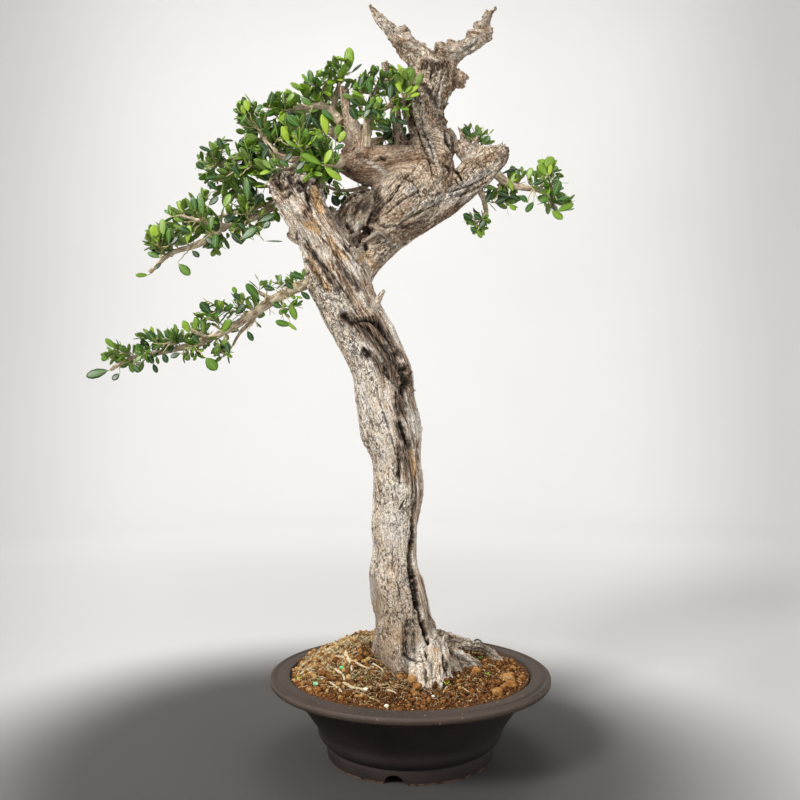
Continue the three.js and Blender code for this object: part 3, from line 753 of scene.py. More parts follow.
# %% Roots, and one skin for all
trunk_limbs += [Limb(stations, style) for style, stations in [
    ("flare", [(20, -14, 112, 18), (21, -34, 98, 13), (20, -52, 87, 9), (17, -70, 78, 6), (14, -84, 66, 3)]),
    ("flare", [(26, -16, 100, 9), (40, -36, 84, 6), (50, -46, 70, 3)]),
    ("flare", [(8, -16, 108, 14), (6, -32, 94, 9), (5, -46, 80, 6), (4, -54, 68, 4)]),
    ("flare", [(13, -20, 112, 9), (12, -40, 96, 7), (11, -56, 84, 5.5), (9, -68, 70, 3)]),
    ("flare", [(28, -8, 120, 12), (33, -26, 102, 9), (34, -42, 88, 7), (34, -56, 72, 4)]),
    ("flare", [(27, -20, 112, 9), (28, -40, 98, 7), (27, -56, 86, 5), (26, -72, 70, 3)]),
    ("root", [(24, 2, 110, 14), (42, 0, 101, 11), (58, 4, 94, 9), (72, 12, 88, 7), (82, 20, 78, 4)]),
    ("root", [(30, -6, 100, 11), (44, -10, 93, 8), (54, -12, 84, 5)]),
    ("root", [(30, 2, 116, 14), (50, 16, 110, 8.5), (66, 33, 104, 6.5), (84, 47, 96, 6), (101, 42, 85, 5),
              (108, 30, 70, 3)]),
    ("stem", [(-24, 6, 121, 16), (-36, 12, 97, 10), (-50, 16, 76, 5)]),
    ("root", [(0, 14, 112, 16), (-6, 46, 98, 9), (-14, 72, 84, 6), (-20, 88, 68, 4)]),
    ("stem", [(-10, -8, 84, 16), (-36, -40, 70, 8), (-52, -56, 56, 4)])]]
TRUNK_SIDES, TRUNK_VOXEL, TRUNK_SMOOTHING = 28, 1.2, 8
trunk = join_tubes("weathered_trunk", trunk_limbs, TRUNK_SIDES)
fuse(trunk, TRUNK_VOXEL, TRUNK_SMOOTHING)
print("trunk skin:", len(trunk.data.vertices), "points")

# %% [markdown]
# Old wood is combed in one direction: furrows, strands and bark plates all run along the limb, and they
# turn slowly round it. So every point of the skin is given grain coordinates: how far along its limb it
# lies and where across it. Where two limbs meet, a point belongs a little to both, and whatever is
# worked out from the grain is blended by these shares.

# %% Grain coordinates
SHARE_SHARPNESS, LEAST_SHARE = 7.0, 0.02
BATCH = 20000


def nearest_stations(points, line):
    """Which point of the line lies nearest to each point, worked out in batches to save memory."""
    nearest = np.empty(len(points), int)
    for first in range(0, len(points), BATCH):
        gaps = (line ** 2).sum(axis=1) - 2 * points[first:first + BATCH] @ line.T
        nearest[first:first + BATCH] = gaps.argmin(axis=1)
    return nearest


class Grain:
    def __init__(self, points, limbs):
        self.count = len(points)
        rows = []
        for limb in limbs:
            margin = 1.7 * limb.radius.max() + 6
            low, high = limb.line.min(axis=0) - margin, limb.line.max(axis=0) + margin
            chosen = np.flatnonzero(((points > low) & (points < high)).all(axis=1))
            nearest = nearest_stations(points[chosen], limb.line)
            offset, last = points[chosen] - limb.line[nearest], len(limb.line) - 1
            beyond, across, deep = [(offset * axis[nearest]).sum(axis=1)
                                    for axis in (limb.tangent, limb.across, limb.deep)]
            radius = limb.radius[nearest]
            past = np.where((nearest == 0) | (nearest == last), beyond, 0)
            reach = np.sqrt(across ** 2 + (deep / limb.flat) ** 2 + past ** 2) / radius
            along = limb.along[nearest] + beyond
            turn = limb.twist * along
            coords = np.stack([across * np.cos(turn) - deep * np.sin(turn),
                               across * np.sin(turn) + deep * np.cos(turn), along], axis=1)
            past_end = np.where(nearest == last, beyond, -radius)
            rows.append((limb, chosen, reach, coords, past_end, across / radius, -deep / radius))
        closest = np.full(self.count, 99.0)
        for _, chosen, reach, *_ in rows:
            closest[chosen] = np.minimum(closest[chosen], reach)
        total = np.zeros(self.count)
        shares = [np.exp(-SHARE_SHARPNESS * (reach - closest[chosen])) for _, chosen, reach, *_ in rows]
        for row, share in zip(rows, shares):
            total[row[1]] += share
        self.rows = [(row, share / total[row[1]]) for row, share in zip(rows, shares)]

    def blend(self, recipe, width=1):
        """Adds up a recipe, a function of limb, coordinates, front and side, by each limb's share."""
        total = np.zeros((self.count, width))
        for (limb, chosen, _, coords, past_end, side, front), share in self.rows:
            kept = share > LEAST_SHARE
            values = recipe(limb, coords[kept], past_end[kept], side[kept], front[kept])
            total[chosen[kept]] += share[kept][:, None] * np.reshape(values, (kept.sum(), -1))
        return total[:, 0] if width == 1 else total


skin = read_points(trunk)
grain = Grain(skin, trunk_limbs)
in_reach = sum(len(row[1]) for row, _ in grain.rows)
print("limbs within reach of a point, on average:", round(in_reach / len(skin), 2))

# %% [markdown]
# Each style is a row of depths in millimetres: long strands, fine strands, bark plates and crumbling,
# and how far a broken end is frayed. The last five numbers say how much of the finish is live bark, old
# crown bark, smooth bark, dead wood or bleached root.

# %% How each kind of wood has weathered
STYLES = {
    #          strand fine plate crumble fray   live crown smooth dead root
    "stem":    (2.6, 0.7, 0.1, 0.3, 6.0,        0.0, 0.0, 0.0, 1.0, 0.0),
    "strap":   (2.4, 0.7, 0.3, 0.4, 5.0,        0.0, 0.9, 0.0, 0.1, 0.0),
    "hub":     (1.6, 0.7, 0.6, 0.6, 0.0,        0.0, 0.75, 0.25, 0.0, 0.0),
    "upright": (2.4, 0.9, 0.6, 1.3, 4.0,        0.0, 0.9, 0.0, 0.1, 0.0),
    "tip":     (2.6, 1.4, 0.4, 0.8, 3.5,        0.0, 0.6, 0.0, 0.4, 0.0),
    "splinter": (1.2, 1.1, 0.5, 1.0, 3.0,       0.0, 0.5, 0.0, 0.5, 0.0),
    "limb":    (0.9, 0.4, 0.1, 0.3, 3.0,        0.0, 0.1, 0.9, 0.0, 0.0),
    "cut":     (0.9, 0.5, 0.2, 0.4, 3.0,        0.0, 0.1, 0.6, 0.3, 0.0),
    "rotten":  (2.2, 1.2, 0.4, 1.9, 4.0,        0.0, 0.6, 0.0, 0.4, 0.0),
    "burl":    (0.9, 0.8, 0.8, 1.2, 0.0,        0.0, 0.7, 0.0, 0.3, 0.0),
    "spike":   (0.5, 0.4, 0.0, 0.3, 1.0,        0.0, 0.0, 0.0, 0.4, 0.6),
    "flare":   (3.0, 1.0, 0.2, 0.6, 0.0,        0.0, 0.0, 0.0, 0.1, 0.9),
    "root":    (3.6, 1.4, 0.4, 1.6, 0.0,        0.1, 0.1, 0.0, 0.25, 0.55)}
styled = grain.blend(lambda limb, coords, *_: np.tile(STYLES[limb.style], (len(coords), 1)), 10)
depths, finishes = styled[:, :5].copy(), styled[:, 5:].copy()

# The broken top of the stem is as rotten as the lobe beside it, and the dead crown is crumbly.
CRUMBLE, CRUMBLE_OF_ROT = 3, 2.6
stub_top = eased(skin[:, 2], 566, 604) * (skin[:, 0] < -84)
depths[:, CRUMBLE] += 2.2 * stub_top + 0.25 * eased(skin[:, 2], 690, 730)
print("rotten wood covers", round(float((depths[:, CRUMBLE] > CRUMBLE_OF_ROT / 2).mean()), 3), "of the skin")

# %% [markdown]
# One side of the stem is alive. A tongue of pale, thin bark climbs the front and the left of it, up to
# the lowest branch, and dead wood lies bare to its right. The border is given as the height and how far
# across the stem it runs: -1 is the left edge, 0 the middle and 1 the right edge. At the back the live
# bark ends near the right edge low down, and further left higher up.

# %% The tongue of live bark
BORDER_FRONT = [(60, 0.62), (165, 0.66), (272, 0.72), (292, 0.1), (318, 0.0), (352, -0.1), (393, -0.22),
                (429, -0.28), (455, -0.3), (466, -0.42), (480, 0.0), (500, 0.12), (520, -0.5), (545, -0.95),
                (560, -1.2), (640, -1.2)]
BORDER_BACK = [(60, 0.6), (300, 0.2), (430, -0.1), (520, -0.4), (560, -1.2), (640, -1.2)]


def live_share(limb, coords, past_end, side, front):
    if limb.style != "stem":
        return np.zeros(len(coords))
    height = np.interp(coords[:, 2], limb.along, limb.line[:, 2])
    rag = 0.10 * noise(coords / (9, 9, 16), 40)
    edge_front = side < np.interp(height, *np.transpose(BORDER_FRONT)) + rag
    edge_back = side < np.interp(height, *np.transpose(BORDER_BACK)) + rag
    return np.where(front > 0, edge_front, edge_back).astype(float)


LIVE, DEAD = 0, 3
LIVE_DEPTHS = np.array([1.7, 0.6, 0.8, 0.4, 0.0])
live = eased(grain.blend(live_share), 0.25, 0.75) * (finishes[:, DEAD] > 0.5)
finishes[:, LIVE] += live * finishes[:, DEAD]
finishes[:, DEAD] *= 1 - live
depths += live[:, None] * (LIVE_DEPTHS - depths)
print("share of the skin under live bark:", round(float(live.mean()), 3))

# %% [markdown]
# Noise gives texture, but not character. The knots, the long cleft, the hollow above the roots and the
# twisting furrows below the stub are placed one by one, as a carver would. Clefts, cracks, hollows and the
# sunken panel are cut in and stay dark: clefts, cracks and hollows are painted near black, as painted
# shade in the cut. Ridges are built up. An umber, tan, pale or grey stroke mostly stains the wood or
# strips it to a fresher or more bleached surface. Each stroke has a width and a depth in millimetres,
# the point where it starts, across and down the front view, and then its steps.

# %% Strokes of the carver's knife
STROKES = {
    "cleft": [
    (2.5, -10, 416, 498, -3, 17, -1, 23, -2, 22, 2, 22, 2, 17, 5, 15), (2.6, -10, 420, 616, 4, 14, 4, 15),
    (1.2, -5, 424, 650, 2, 10), (2.4, -6, 378, 322, 6, 12, 7, 12), (1, -3, 357, 322, 10, -1, 9, 2),
    (2.6, -7, 445, 133, 2, 10, 4, 10), (1.8, -5, 443, 163, 7, 7, 7, 12), (2, -5, 452, 163, 4, 8, 6, 9),
    (1.6, -5, 444, 654, -1, 11, 4, 11), (2.2, -8, 413, 560, 2, 20, 3, 20, 3, 18),
    (2.4, -8, 423, 620, 2, 12, 2, 12)],
    "crack": [
    (1.3, -4, 403, 626, 0, 15, -1, 14), (1, -3, 414, 625, 1, 16, 0, 14), (0.9, -3, 397, 580, 2, 12, 2, 11),
    (1.2, -4, 399, 470, 1, 14), (1, -3, 405, 500, -4, 8, -4, 5), (1.6, -3, 376, 545, 0, 15),
    (1, -2.5, 398, 402, 5, 11, 5, 10), (1.3, -2.5, 376, 385, 2, 13, 5, 14, 4, 12, 5, 16, 4, 15),
    (1, -2.5, 409, 448, 1, 14, 2, 16, 1, 18), (1, -2, 418, 440, 1, 18, -1, 14),
    (1.7, -3.6, 292, 226, 13, 16, 12, 18, 13, 12, 10, 13, 10, 15, 9, 16),
    (1.2, -3.5, 320, 236, 10, 10, 8, 10, 8, 11, 9, 10, 7, 10, 5, 10, 2, 9),
    (1.3, -3, 312, 252, 6, 11, 7, 11, 7, 11), (1.3, -3, 306, 186, 2, 14, 5, 13),
    (1.2, -3, 291, 224, 5, 8, 1, 8, 6, -1), (1.4, -4, 338, 228, 8, 12, 8, 10),
    (1, -3, 366, 236, 11, 6, 9, 6), (1.5, -4, 396, 229, 8, -1, 9, -4, 10, -4),
    (1.2, -3, 372, 222, 14, 6, 12, -1, 10, -8, 12, -7, 16, -6),
    (1.2, -3, 432, 196, 16, -4, 16, -4, 14, -5, 14, -11),
    (1, -2.5, 427, 191, 13, 2, 15, 3, 15, -4, 16, -9, 13, -11),
    (1.3, -3, 372, 215, 10, -8, 10, -10, 6, -9, 6, -10), (1.2, -3, 386, 214, 12, -10, 10, -8, 12, -6),
    (1.5, -3.2, 408, 110, 5, 13, 6, 14, 6, 15, 5, 11, 3, 12), (1, -2, 418, 118, 6, 14, 6, 15, 4, 13, 3, 14),
    (1.2, -2.5, 398, 168, 6, 10, 9, 4, 7, 10), (1.2, -2.5, 420, 160, -8, 12, -8, 6, -8, 12),
    (1.1, -2.5, 396, 190, 12, 7, 12, -5), (1.1, -2.5, 446, 199, 16, -3, 16, -8, 14, -12),
    (1.3, -3, 418, 72, 0, -3, 10, -2), (1.2, -3, 412, 78, 9, -2, 9, 2, 8, -3),
    (1.2, -3, 428, 58, 4, 10, -2, 10, 4, 12), (0.7, -1.8, 420, 652, 3, 12, 3, 14),
    (0.8, -2.4, 431, 660, 1, 14, 2, 14), (0.8, -2.4, 439, 662, 1, 9, 1, 11),
    (1.2, -3, 388, 356, 8, 10, 6, 12, 2, 12), (1.2, -3, 382, 370, 8, 10, 8, 8),
    (1.1, -3, 396, 392, 0, 12, 3, 12), (1.2, -3, 414, 398, 3, 12, 3, 12), (1, -2.5, 398, 452, 1, 14, -2, 14),
    (1, -2.5, 330, 238, 12, 14, 10, 12, 8, 12), (1.4, -4, 412, 640, 2, 12, 2, 12),
    (0.9, -2.5, 406, 668, 12, -6, 10, -2), (1, -3, 462, 655, 8, 7, 6, 10),
    (1, -2.5, 452, 646, 12, 4, -1, -3), (1.6, -4, 354, 322, 14, 8, 12, 12, 10, 14),
    (1.4, -4, 362, 318, 14, 7, 12, 11, 9, 14), (1.2, -3, 416, 470, 1, 20, -1, 18),
    (1.4, -4, 402, 345, 4, 11, 4, 12), (1.5, -4, 350, 248, 6, -10, 4, -10),
    (1.5, -4, 365, 236, 3, -14, 4, -8), (1.3, -4, 353, 216, 5, -8, 6, -8)],
    "hollow": [
    (1.6, -4, 403, 655, 5, 4, 6, 1), (3, -5, 343, 317, 7, 7), (2.6, -4, 400, 370, 4, -1),
    (1.8, -3, 395, 353, 1, 2), (1.8, -2.5, 384, 369, 2, 1), (3.2, -7, 403, 392, 0, -6, 4, -4, 4, -3),
    (2, -4, 400, 424, 3, 10, 4, 9), (3, -6, 344, 247, 8, 9, 8, 7), (2.6, -5, 360, 240, 6, 8),
    (2.4, -5, 328, 215, 8, 7), (2.2, -5, 347, 224, 5, 8), (1.8, -2.5, 382, 158, 3, 1),
    (3, -4, 288, 176, 3, 6), (2.4, -4, 276, 186, 4, 4), (2, -3, 300, 183, 4, 4), (1.8, -2, 425, 672, 1, 9),
    (2.4, -4, 364, 350, 5, 5), (2, -3, 403, 374, 2, 4), (2.2, -4, 355, 240, 2, 6), (2.2, -4, 366, 228, 3, 5)],
    "panel": [
    (5.5, -3.5, 411, 625, -1, 15, -1, 12)],
    "ridge": [
    (2, 3.5, 354, 318, 10, -2, 10, 0), (1.8, 3, 393, 372, 2, -7, 6, -2, 6, 2, 2, 6, -6, 5, -7, 0),
    (1.5, 2, 391, 354, 3, -5, 4, 1, 2, 6), (4, 4, 408, 390, 4, 0), (3.5, 2.5, 404, 402, 5, 10, 6, 11),
    (3.4, 3, 287, 199, 10, 12, 12, 8, 11, 8, 11, 9, 9, 11, 9, 11, 13, 13),
    (2.8, 2.5, 325, 248, 10, 11, 10, 12, 9, 10, 7, 12, 5, 13),
    (2.4, 2.5, 423, 128, 6, 14, 6, 14, 5, 14, 4, 12), (1.3, 1.6, 378, 158, 4, -4, 5, 2, 1, 5, -5, 4, -4, -3),
    (1.6, 1.8, 389, 524, 5, -4, 5, 4), (2.2, 2.5, 416, 420, 5, 8, -1, 10),
    (1.8, 3, 358, 320, 14, 8, 12, 12, 10, 12), (1.6, 2.5, 356, 332, 10, 8, 10, 12),
    (2, 3, 398, 372, 6, -6, 6, 6, -2, 10, -8, 2)],
    "umber": [
    (1.8, 0, 406, 622, -1, 18, 0, 15), (7, 0, 376, 322, 12, 16, 9, 16),
    (2.8, 0, 276, 184, 10, 4, 11, -4, 12, -2), (3, 0, 306, 192, 3, 14, -4, 10),
    (2.6, 0, 300, 252, 8, 10, 8, 14, 9, 14), (8, 0, 384, 368, 10, 6, 9, 10),
    (6.5, 0, 403, 386, -4, 14, 3, 14), (5, 0, 398, 424, 4, 12, 6, 10), (3.5, 0, 404, 450, 1, 16, 2, 16),
    (4, 0, 306, 246, 12, 14, 12, 18, 8, 12), (6, 0, 376, 190, 3, 14, -5, 14),
    (3, 0, 346, 169, 15, 22, 9, -2), (5, 0, 409, 98, -1, 10, 4, 14), (6, 0, 424, 62, 10, 4, 12, -2),
    (3.5, 0, 420, 84, 10, 8, 6, 14), (6, 0, 343, 317, 7, 5, 12, 2, 12, -2), (5, 0, 364, 352, 9, 4, 7, 10),
    (4.5, 0, 404, 366, 6, 10, 2, 8), (3, 0, 398, 446, 1, 16, -1, 14), (3, 0, 336, 262, 12, 14, 10, 14),
    (4, 0, 450, 652, -6, 16), (9, 0, 352, 322, 14, 6, 12, 12), (9, 0, 364, 330, 14, 12, 10, 14),
    (7, 0, 382, 350, 10, 12, 10, 14)],
    "tan": [
    (4.2, -0.6, 312, 187, 3, 12, 4, 11), (1.8, 0, 313, 220, 5, 5), (1.6, 0, 340, 246, 6, 8),
    (3.2, -1.2, 307, 256, 5, 9, 6, 11, 7, 9, 4, 4), (2, 0, 364, 252, 8, 10, 6, 6),
    (2.6, 0, 412, 448, 1, 16, 1, 16), (4.5, 0, 315, 186, 3, 12, 4, 17), (2.6, 0, 328, 236, 10, 12, 12, 14),
    (3, 0, 302, 222, 9, 5, 8, 6), (2.2, 0, 308, 258, 5, 13, 7, 10), (4.2, 0, 322, 281, 8, 10),
    (3, 0, 447, 100, -1, -7, 6, -5), (2.2, 0, 402, 38, 2, 3), (3, 0, 339, 211, 1, 1, 6, -2),
    (1.8, 0, 432, 649, 6, 1), (2.4, 0, 357, 262, 7, -6, 6, -6)],
    "pale": [
    (2.4, 0, 352, 279, 6, 8, 4, 10, 3, 9), (2, 0, 331, 237, 14, 16, 12, 15, 9, 12),
    (2.6, 0, 405, 404, 5, 10, 4, 10), (1.2, 0, 398, 430, 2, 10, 3, 9),
    (2.4, 1.5, 368, 231, 8, 4, 9, 6, 7, 5, 7, 1), (1.8, 1, 405, 216, 20, -13, 21, -4, 20, -2, 18, -10),
    (2.2, 0, 366, 160, 12, 8, 10, 8), (1.6, 0.6, 444, 60, 11, -7, 13, -7, 12, -8),
    (4, 0.5, 404, 190, 8, -2, 6, 8), (1.8, 1, 445, 187, 17, -3, 16, -8, 14, -12),
    (1.6, 1, 440, 204, 18, -2, 16, -6, 14, -12), (1.6, 0.6, 375, 14, 9, 10, 10, 8),
    (1.8, 0.8, 458, 62, 9, -8, 10, -9), (2.6, 1.2, 404, 508, -1, 10), (2.2, 1.5, 350, 236, 6, -7, 8, -7),
    (2, 1.5, 357, 214, 9, -6, 6, -6), (1.6, 0.8, 316, 240, 12, 14, 12, 14, 12, 14, 8, 14),
    (1.4, 0.8, 286, 204, 10, 10, 10, 8), (5, 0.6, 408, 664, 8, -11, 12, -9),
    (3.5, 0.5, 432, 640, 14, 8, 16, 4), (2.4, 1.2, 456, 652, 10, 4, 8, 8, 5, 10),
    (6, 0.5, 372, 578, -1, 10, 3, 10), (2.2, 1, 420, 468, 2, 14, -1, 18), (1.6, 1, 366, 239, 12, -6, 14, 11),
    (5, 0, 424, 206, 24, -10, 22, -12, 18, -14), (3, 0, 424, 128, 6, 20, 6, 16),
    (2.6, 0, 416, 520, 1, 25, 1, 25)],
    "grey": [
    (2.2, 0, 480, 35, 5, -3)]}


print(sum(map(len, STROKES.values())), "strokes")

# %% [markdown]
# A path is drawn on the front view and lands on the first wood behind it, so the two helpers below find
# that place and measure how far the skin lies from a path. Noise makes the edge of each stroke wander.
# Then one loop lays all strokes: it cuts or builds the wood and keeps the stain or painted shade that goes
# with it.

# %% Lay the strokes
def on_wood(u, v):
    """Where the line of sight through (u, v) of the front view meets the wood, in millimetres."""
    found, place, *_ = trunk.ray_cast(world(CAMERA_PLACE), Vector(sight(u, v)))
    if not found:
        _, place, *_ = trunk.closest_point_on_mesh(world(seen_at(u, v, 0)))
    return (np.array(place) - POT_AXIS) / MM


def distance_to_path(points, path):
    """How far each point lies from the path, and how far along the path, from 0 to 1, it lies."""
    best, share = np.full(len(points), 1e9), np.zeros(len(points))
    lengths = np.linalg.norm(np.diff(path, axis=0), axis=1)
    done = 0.0
    for first, last, length in zip(path, path[1:], lengths):
        t = np.clip((points - first) @ (last - first) / length ** 2, 0, 1)
        gap = np.linalg.norm(points - first - t[:, None] * (last - first), axis=1)
        share = np.where(gap < best, np.minimum((done + t * length) / lengths.sum(), 1), share)
        best = np.minimum(best, gap)
        done += length
    return best, share


#                stain or painted shade, strength, and where it starts and ends to fade, in widths of the
#                stroke
STAINS = {"cleft": ("dark", 1.0, 0.7, 1.5), "crack": ("dark", 0.65, 0.2, 1.2),
          "hollow": ("dark", 0.75, 0.4, 1.4), "umber": ("umber", 1.0, 0.5, 1.4),
          "panel": ("grey", 1.0, 0.8, 1.3), "tan": ("tan", 1.0, 0.5, 1.6), "pale": ("pale", 1.0, 0.5, 1.6),
          "grey": ("grey", 1.0, 0.5, 1.6)}
FLAT_BOTTOMED, BLUNT_ENDED = ("cleft", "hollow", "panel"), ("hollow", "panel", "umber")
cut, built = np.zeros(len(skin)), np.zeros(len(skin))
marks = {stain: np.zeros(len(skin)) for stain in ("dark", "umber", "tan", "pale", "grey")}
for kind, (width, depth, *steps) in [(kind, stroke) for kind in STROKES for stroke in STROKES[kind]]:
    path = np.array([on_wood(u, v) for u, v in np.cumsum(np.reshape(steps, (-1, 2)), axis=0)])
    reach = 3 * width + 4
    near = np.flatnonzero(((skin > path.min(axis=0) - reach) & (skin < path.max(axis=0) + reach)).all(axis=1))
    away, share = distance_to_path(skin[near], path)
    taper = 1.0 if kind in BLUNT_ENDED else 0.3 + 0.7 * np.sin(math.pi * share) ** 0.6
    wander = 0.5 * width * rough(skin[near] / 5, 3, 50) + 0.5 * noise(skin[near] / 2.6, 57)
    away = np.maximum(away + wander, 0) / (width * taper)
    profile = 1 - eased(away, 0.6, 1.25) if kind in FLAT_BOTTOMED else np.exp(-away ** 2)
    cut[near] = np.minimum(cut[near], depth * profile)
    built[near] = np.maximum(built[near], depth * profile)
    if kind in STAINS:
        stain, strength, inner, outer = STAINS[kind]
        marks[stain][near] = np.maximum(marks[stain][near], strength * (1 - eased(away, inner, outer)))
carved = cut + built
print("deepest cut", round(float(carved.min()), 1), "mm, highest ridge", round(float(carved.max()), 1), "mm")

# %% [markdown]
# Now the skin is moved. Every pattern is worked out in the grain coordinates, which are squeezed along
# the limb, so that a pattern comes out long and narrow. Rotten wood is pitted as if by worms, and the
# broken ends are frayed: their fibres are pushed out along the limb by different amounts. What lies
# deeper than its neighbours is remembered as a crevice, to be darkened by painted shade.

# %% Comb, crack and fray the wood
long_strands = grain.blend(lambda limb, c, *_: strands(c / (12, 12, 120), 1)) - 0.5
fine_strands = grain.blend(lambda limb, c, *_: strands(c / (4.2, 4.2, 42), 2)) - 0.5
plate = grain.blend(lambda limb, c, *_: plates(c / (9, 9, 15) + 0.35 * noise(c / 6, 6)[:, None], 3)) - 0.8
plate *= eased(rough(skin / 26, 2, 34), -0.15, 0.35)
crumbs = np.abs(rough(skin / 5.5, 3, 5)) * 1.6 - 0.6
pits = eased(rough(skin / 6.0, 2, 33), 0.12, 0.5) * eased(depths[:, CRUMBLE], 1.3, CRUMBLE_OF_ROT)
swell = 1.1 * rough(skin / 38, 2, 9)
texture = depths[:, 0] * long_strands + depths[:, 1] * fine_strands + depths[:, 2] * plate
texture += depths[:, CRUMBLE] * crumbs - 4.0 * pits
above_soil = eased(skin[:, 2], 80, 92)
texture *= 0.2 + 0.8 * above_soil
fine = 0.3 * noise(skin / 1.9, 14) * above_soil


def fray_push(limb, coords, past_end, *_):
    """How far, as a vector, the fibres of a broken end stand out along their limb."""
    at_end = eased(past_end, -0.5 * limb.radius[-1], 0.2)
    ragged = 1.2 * noise(coords / (3.4, 3.4, 40), 12) + 1.1 * noise(coords / (10, 10, 60), 13)
    return (at_end * STYLES[limb.style][4] * ragged)[:, None] * limb.tangent[-1]


moved = skin + read_points(trunk, "normal") * (texture + swell + carved + fine)[:, None]
move_points(trunk, moved + grain.blend(fray_push, 3))
crevice = np.maximum(eased(-(texture + np.minimum(carved + 2, 0) * 0.3), 0.5, 2.4), 0.8 * pits)
print("crevices cover", round(float((crevice > 0.5).mean()), 3), "of the skin")

# %% [markdown]
# All that the finish has to know is written on the skin: where the grain runs, the shares of the five
# kinds of surface, the stains, the painted shade of crevices and cuts, and what stands proud, which is
# painted paler. Last, the skin is thinned out where it is plain, which takes half of its triangles and
# none of its cracks.

# %% Write down the grain, and thin out
write_attribute(trunk, "grain", grain.blend(lambda limb, c, *_: c * MM, 3), "FLOAT_VECTOR")
for column, name in enumerate(("live", "crown", "smooth", "dead", "root")):
    write_attribute(trunk, name, finishes[:, column])
for stain, values in marks.items():
    write_attribute(trunk, stain, values)
write_attribute(trunk, "crevice", np.maximum(crevice, marks["dark"]))
write_attribute(trunk, "proud", eased(texture, 0.5, 2.2))
MOST_TRIANGLES = 192000
thin_out = trunk.modifiers.new("thin_out", "DECIMATE")
thin_out.ratio = MOST_TRIANGLES / triangles(trunk)
apply_modifiers(trunk)
print("thinned out to", triangles(trunk), "triangles")

# %% [markdown]
# Old wood is all streaks and cracks. The streaks are noise that is squeezed along the grain, so they run
# with the wood and round its bends. The cracks are the borders of cells, which noise bends first, so that
# they don't look ruled. These patterns are made once and used in all that follows.

# %% Patterns along the grain
wood = Finish("weathered_wood", Specular_IOR_Level=0.2)
along, where = wood.attribute("grain", "Vector"), wood.place()
height = wood.node("SeparateXYZ", {}, {0: where}, output=2)


def combed(squeeze):
    """Grain coordinates squeezed along the limb, so that a pattern comes out long."""
    return wood.stretched(along, (1, 1, squeeze))


def crack_net(place, bend, push, fineness, width):
    """Crooked cracks between cells: 1 in a crack."""
    net = wood.cells(wood.warped(place, bend, push), fineness, "DISTANCE_TO_EDGE")
    return 1.0 - net.within(0.01, width)


streak = wood.noise(combed(0.08), 420, detail=6, roughness=0.66)
hair = wood.noise(wood.warped(combed(0.09), 200, 0.001), 900, detail=4, roughness=0.6)
broad = wood.noise(combed(0.3), 60, detail=4)
pepper = wood.noise(combed(0.5), 760, detail=4, roughness=0.7)
warmth = wood.noise(where, 34, detail=3)
cracked_here = wood.noise(where, 52, detail=2).within(0.42, 0.52)
broken_up = wood.noise(where, 260, detail=2).within(0.4, 0.52)
long_cracks = crack_net(combed(0.4), 260, 0.004, 190, 0.1)
block_cracks = crack_net(wood.stretched(where, (1, 1, 0.8)), 220, 0.004, 155, 0.1)
flakes = crack_net(combed(0.7), 500, 0.0016, 420, 0.08)
print(len(wood.tree.nodes), "nodes for the patterns")

# %% [markdown]
# Five kinds of surface share one material, and the shares on the skin blend them. Each is a ramp of three
# colours, from its furrows to its strands. The bark is torn in some places by a net of cracks, and
# peppered with dark specks and hairlines all over. Crevices are painted dark brown and cuts near black,
# as painted shade. The tan strokes show fresh heartwood, the umber ones are charred, and the bleached ones
# are almost white. The foot of the stem is painted darker and browner, partly as a stain of soil and
# partly as painted shade low on the stem.

# %% Weathered wood and bark
live, crown, smooth, root = [wood.attribute(name) for name in ("live", "crown", "smooth", "root")]
bark_mix = 0.38 * broad + 0.22 * streak + 0.4 * pepper
wood_mix = 0.3 * broad + 0.55 * streak + 0.15 * pepper
wood.prime(wood.ramp(wood_mix, (0.42, 108, 86, 68), (0.468, 208, 184, 159), (0.535, 254, 246, 234)))
wood.paint(live, wood.ramp(bark_mix, (0.42, 166, 138, 111), (0.468, 232, 216, 194), (0.54, 252, 245, 234)))
wood.paint(crown, wood.ramp(bark_mix, (0.42, 114, 86, 64), (0.472, 202, 173, 142), (0.54, 250, 235, 212)))
wood.paint(smooth, wood.ramp(bark_mix, (0.42, 104, 74, 54), (0.48, 164, 134, 106), (0.56, 222, 198, 170)))
wood.paint(root, wood.ramp(wood_mix, (0.4, 150, 124, 98), (0.46, 226, 211, 190), (0.56, 254, 249, 240)))
wood.paint(warmth.within(0.48, 0.62) * 0.4, (1.0, 0.86, 0.72), "MULTIPLY")
wood.paint((1.0 - warmth.within(0.38, 0.5)) * 0.5, (0.82, 0.79, 0.76), "MULTIPLY")
# What stands proud is painted paler.
wood.paint(wood.attribute("proud") * 0.3, chart(236, 226, 210))
# The foot of the stem is painted darker and browner: partly a stain of soil, partly painted shade low down.
foot_stain_and_shade = (1.0 - height.within(0.11, 0.24)) * (1.0 - 0.9 * root) * broad.within(0.36, 0.54)
wood.paint(foot_stain_and_shade, (0.56, 0.47, 0.37), "MULTIPLY")
wood.paint(wood.attribute("tan") * streak.within(0.3, 0.42) * 0.9,
           wood.ramp(hair, (0.38, 186, 134, 84), (0.56, 238, 200, 146)))
wood.paint(wood.attribute("pale") * 0.85, wood.ramp(hair, (0.38, 170, 158, 144), (0.52, 238, 231, 220)))
wood.paint(wood.attribute("grey") * 0.9, wood.ramp(hair, (0.38, 122, 110, 99), (0.56, 204, 188, 170)))
torn = long_cracks * cracked_here * broken_up * (live + crown + smooth * 0.5)
blocky = block_cracks * (crown + live * height.within(0.39, 0.43)) * broken_up
wood.paint(torn * 0.78, chart(62, 46, 34))
wood.paint(blocky * 0.7, chart(62, 46, 34))
wood.paint(flakes * pepper.within(0.42, 0.54) * 0.95, chart(76, 58, 44))
wood.paint((1.0 - pepper.within(0.36, 0.45)) * (1.0 - 0.6 * root) * 0.8, chart(60, 45, 33))
